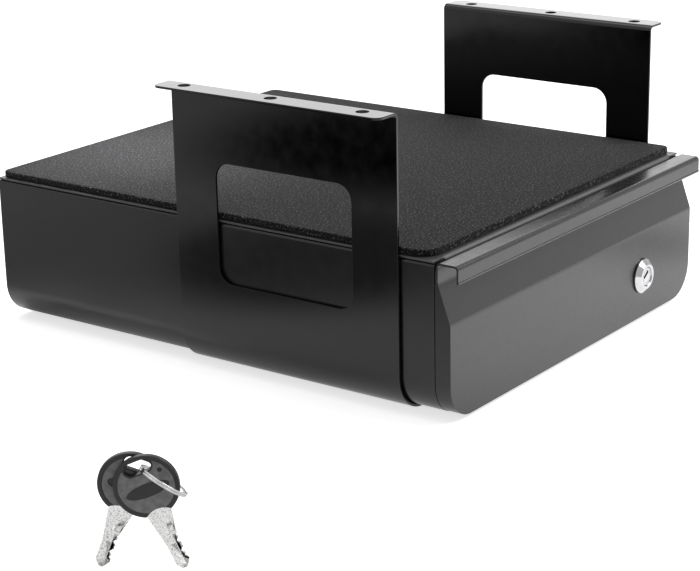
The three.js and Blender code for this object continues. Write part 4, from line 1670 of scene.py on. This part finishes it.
@dataclass
class Studio:
    """Camera, lamps, backdrop and floor."""

    case_front: float = -103 * MM
    lens: float = 104.8
    place: Triple = (-1.02596, -0.59619, 0.42839)
    yaw: float = -53.5
    pitch: float = 17.97
    roll: float = -1.12
    floor_half: float = 6.0
    floor_drop: float = 0.2 * MM
    floor_lift: float = 0.68
    ambient: float = 0.45
    # Painted shade: dark floor patches that shiny surfaces mirror where the studio has no dark object.
    painted_shade_patches: tuple[Patch, ...] = (
        Patch((-0.69, 0.27), (0.13, 0.26), 1),
        Patch((-0.37, 0.15), (0.08, 0.16), 0.8),
        Patch((-0.29, 0.3), (0.08, 0.18), 0.25),
        Patch((0.235, -0.2), (0.01, 0.08), 0.5),
    )
    # Painted light: floor patches that glow only in reflections, where no lamp is.
    painted_light_patches: tuple[Patch, ...] = (
        Patch((0.15, -0.3), (0.2, 0.55), 1.0),
        Patch((-0.12, 0.06), (0.06, 0.24), 0.35),
        Patch((-0.17, 0.25), (0.02, 0.08), 0.35),
    )

    def build(self) -> None:
        """Makes the camera, the world, the floor and the lamps."""
        self.camera()
        self.world()
        self.floor()
        self.lamp("front_softbox", (0.75, -1.05, 1.35), (0.05, -0.15, 0.03), (1.2, 0.9), 22)
        self.lamp("rear_softbox", (1.6, 1.3, 0.8), (0, 0.1, 0.1), (2.4, 1.3), 12)
        self.lamp("top_softbox", (-0.2, 0.3, 2.0), (0, 0.05, 0.05), (1.6, 1.6), 12)
        self.lamp("low_softbox", (1.7, -1.2, 0.3), (0, -0.11, 0.07), (1.6, 0.6), 1.7)
        self.lamp("pad_softbox", (-0.05, 0.2, 0.45), (-0.05, 0.19, 0.1), (0.1, 0.1), 0.25, 40)
        bpy.context.scene.view_settings.view_transform = "Standard"

    def camera(self) -> None:
        """Places the camera where the photograph was taken from."""
        data = bpy.data.cameras.new("camera")
        data.lens = self.lens
        data.sensor_width = 36
        data.clip_end = 60
        camera = bpy.data.objects.new("camera", data)
        x, y, z = self.place
        turn = spun(self.yaw, "Z") @ spun(90 - self.pitch, "X") @ spun(self.roll, "Z")
        camera.matrix_world = Matrix.Translation((x, y + self.case_front, z)) @ turn
        bpy.context.scene.collection.objects.link(camera)
        bpy.context.scene.camera = camera

    def world(self) -> None:
        """White wherever it is seen or mirrored, and a plain level of light elsewhere."""
        world = bpy.data.worlds.new("studio_world")
        world.use_nodes = True
        world.node_tree.nodes.clear()
        graph = Graph(world.node_tree)
        rays = graph.add("LightPath").outputs
        seen = graph.maths("MAXIMUM", rays["Is Camera Ray"], rays["Is Transmission Ray"])
        shown = graph.maths("MAXIMUM", seen, rays["Is Glossy Ray"])
        level = graph.add("MapRange", To_Min=self.ambient, To_Max=1)
        graph.link(shown, level.inputs["Value"])
        back = graph.add("Background")
        graph.link(level.outputs["Result"], back.inputs["Strength"])
        graph.link(back.outputs["Background"], graph.add("OutputWorld").inputs["Surface"])
        bpy.context.scene.world = world

    def floor(self) -> None:
        """A white floor that keeps the shadow of the safe, with painted patches of reflected light and
        shade that only shiny surfaces mirror.
        """
        deselect()
        bpy.ops.mesh.primitive_plane_add(size=2 * self.floor_half, location=(0, 0, -self.floor_drop))
        floor = bpy.context.object
        floor.name = "studio_floor"
        recipe = Recipe("studio_floor")
        recipe.set(recipe.shader, Base_Color=(0.86, 0.86, 0.86, 1), Roughness=0.9, Specular_IOR_Level=0.0)
        rays = recipe.add("LightPath").outputs
        mirrored = rays["Is Glossy Ray"]
        lift = recipe.maths("MULTIPLY", rays["Is Camera Ray"], self.floor_lift)
        # Painted light: the glow of the painted light patches, added for glossy rays only.
        bright = self.strongest(recipe, mirrored, self.painted_light_patches)
        glow = recipe.add("Emission")
        recipe.link(recipe.maths("ADD", lift, bright), glow.inputs["Strength"])
        lit = recipe.add("AddShader")
        recipe.link(recipe.shader.outputs[0], lit.inputs[0])
        recipe.link(glow.outputs[0], lit.inputs[1])
        # Painted shade: black where the painted shade patches are mirrored.
        dark = recipe.add("Emission", Strength=0)
        mix = recipe.add("MixShader")
        recipe.link(self.strongest(recipe, mirrored, self.painted_shade_patches), mix.inputs["Fac"])
        recipe.link(lit.outputs[0], mix.inputs[1])
        recipe.link(dark.outputs[0], mix.inputs[2])
        recipe.link(mix.outputs[0], recipe.tree.nodes["Material Output"].inputs["Surface"])
        floor.data.materials.append(recipe.material)

    def strongest(self, recipe: Recipe, mirrored: NodeSocket, patches: Sequence[Patch]) -> NodeSocket:
        """The level of the strongest of some patches at a point of the floor, where it is mirrored.

        Args:
            recipe: the floor's material.
            mirrored: whether the ray comes from a shiny surface.
            patches: the patches.

        Returns:
            The level.
        """
        first, *others = [patch.strength(recipe) for patch in patches]
        for other in others:
            first = recipe.maths("MAXIMUM", first, other)
        return recipe.maths("MULTIPLY", first, mirrored)

    def lamp(
        self,
        name: str,
        place: Triple,
        aim: Triple,
        size: Pair,
        power: float,
        spread: float = 180,
    ) -> None:
        """Adds a softbox.

        Args:
            name: its name.
            place: where its middle is.
            aim: the point it faces.
            size: its width and height.
            power: its power in watts.
            spread: how wide its beam is, in degrees.
        """
        data = bpy.data.lights.new(name, "AREA")
        data.shape = "RECTANGLE"
        data.size, data.size_y = size
        data.energy = power
        data.spread = math.radians(spread)
        lamp = bpy.data.objects.new(name, data)
        lamp.location = place
        lamp.visible_camera = False
        lamp.rotation_euler = (Vector(aim) - Vector(place)).to_track_quat("-Z", "Y").to_euler()
        bpy.context.scene.collection.objects.link(lamp)


def main() -> None:
    """Builds every piece of the safe and its studio."""
    logging.basicConfig(level=logging.INFO, format="%(name)s: %(message)s")
    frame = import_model()
    Studio().build()
    finishes = Finishes()
    Case().build(finishes)
    Cradle().build(finishes)
    DrawerFront().build(finishes)
    CamLock().build(finishes)
    KeySet().build(finishes)
    TrayMat().build(finishes)
    CarriedNodes(finishes).build(frame["record"])


if __name__ == "__main__":
    main()
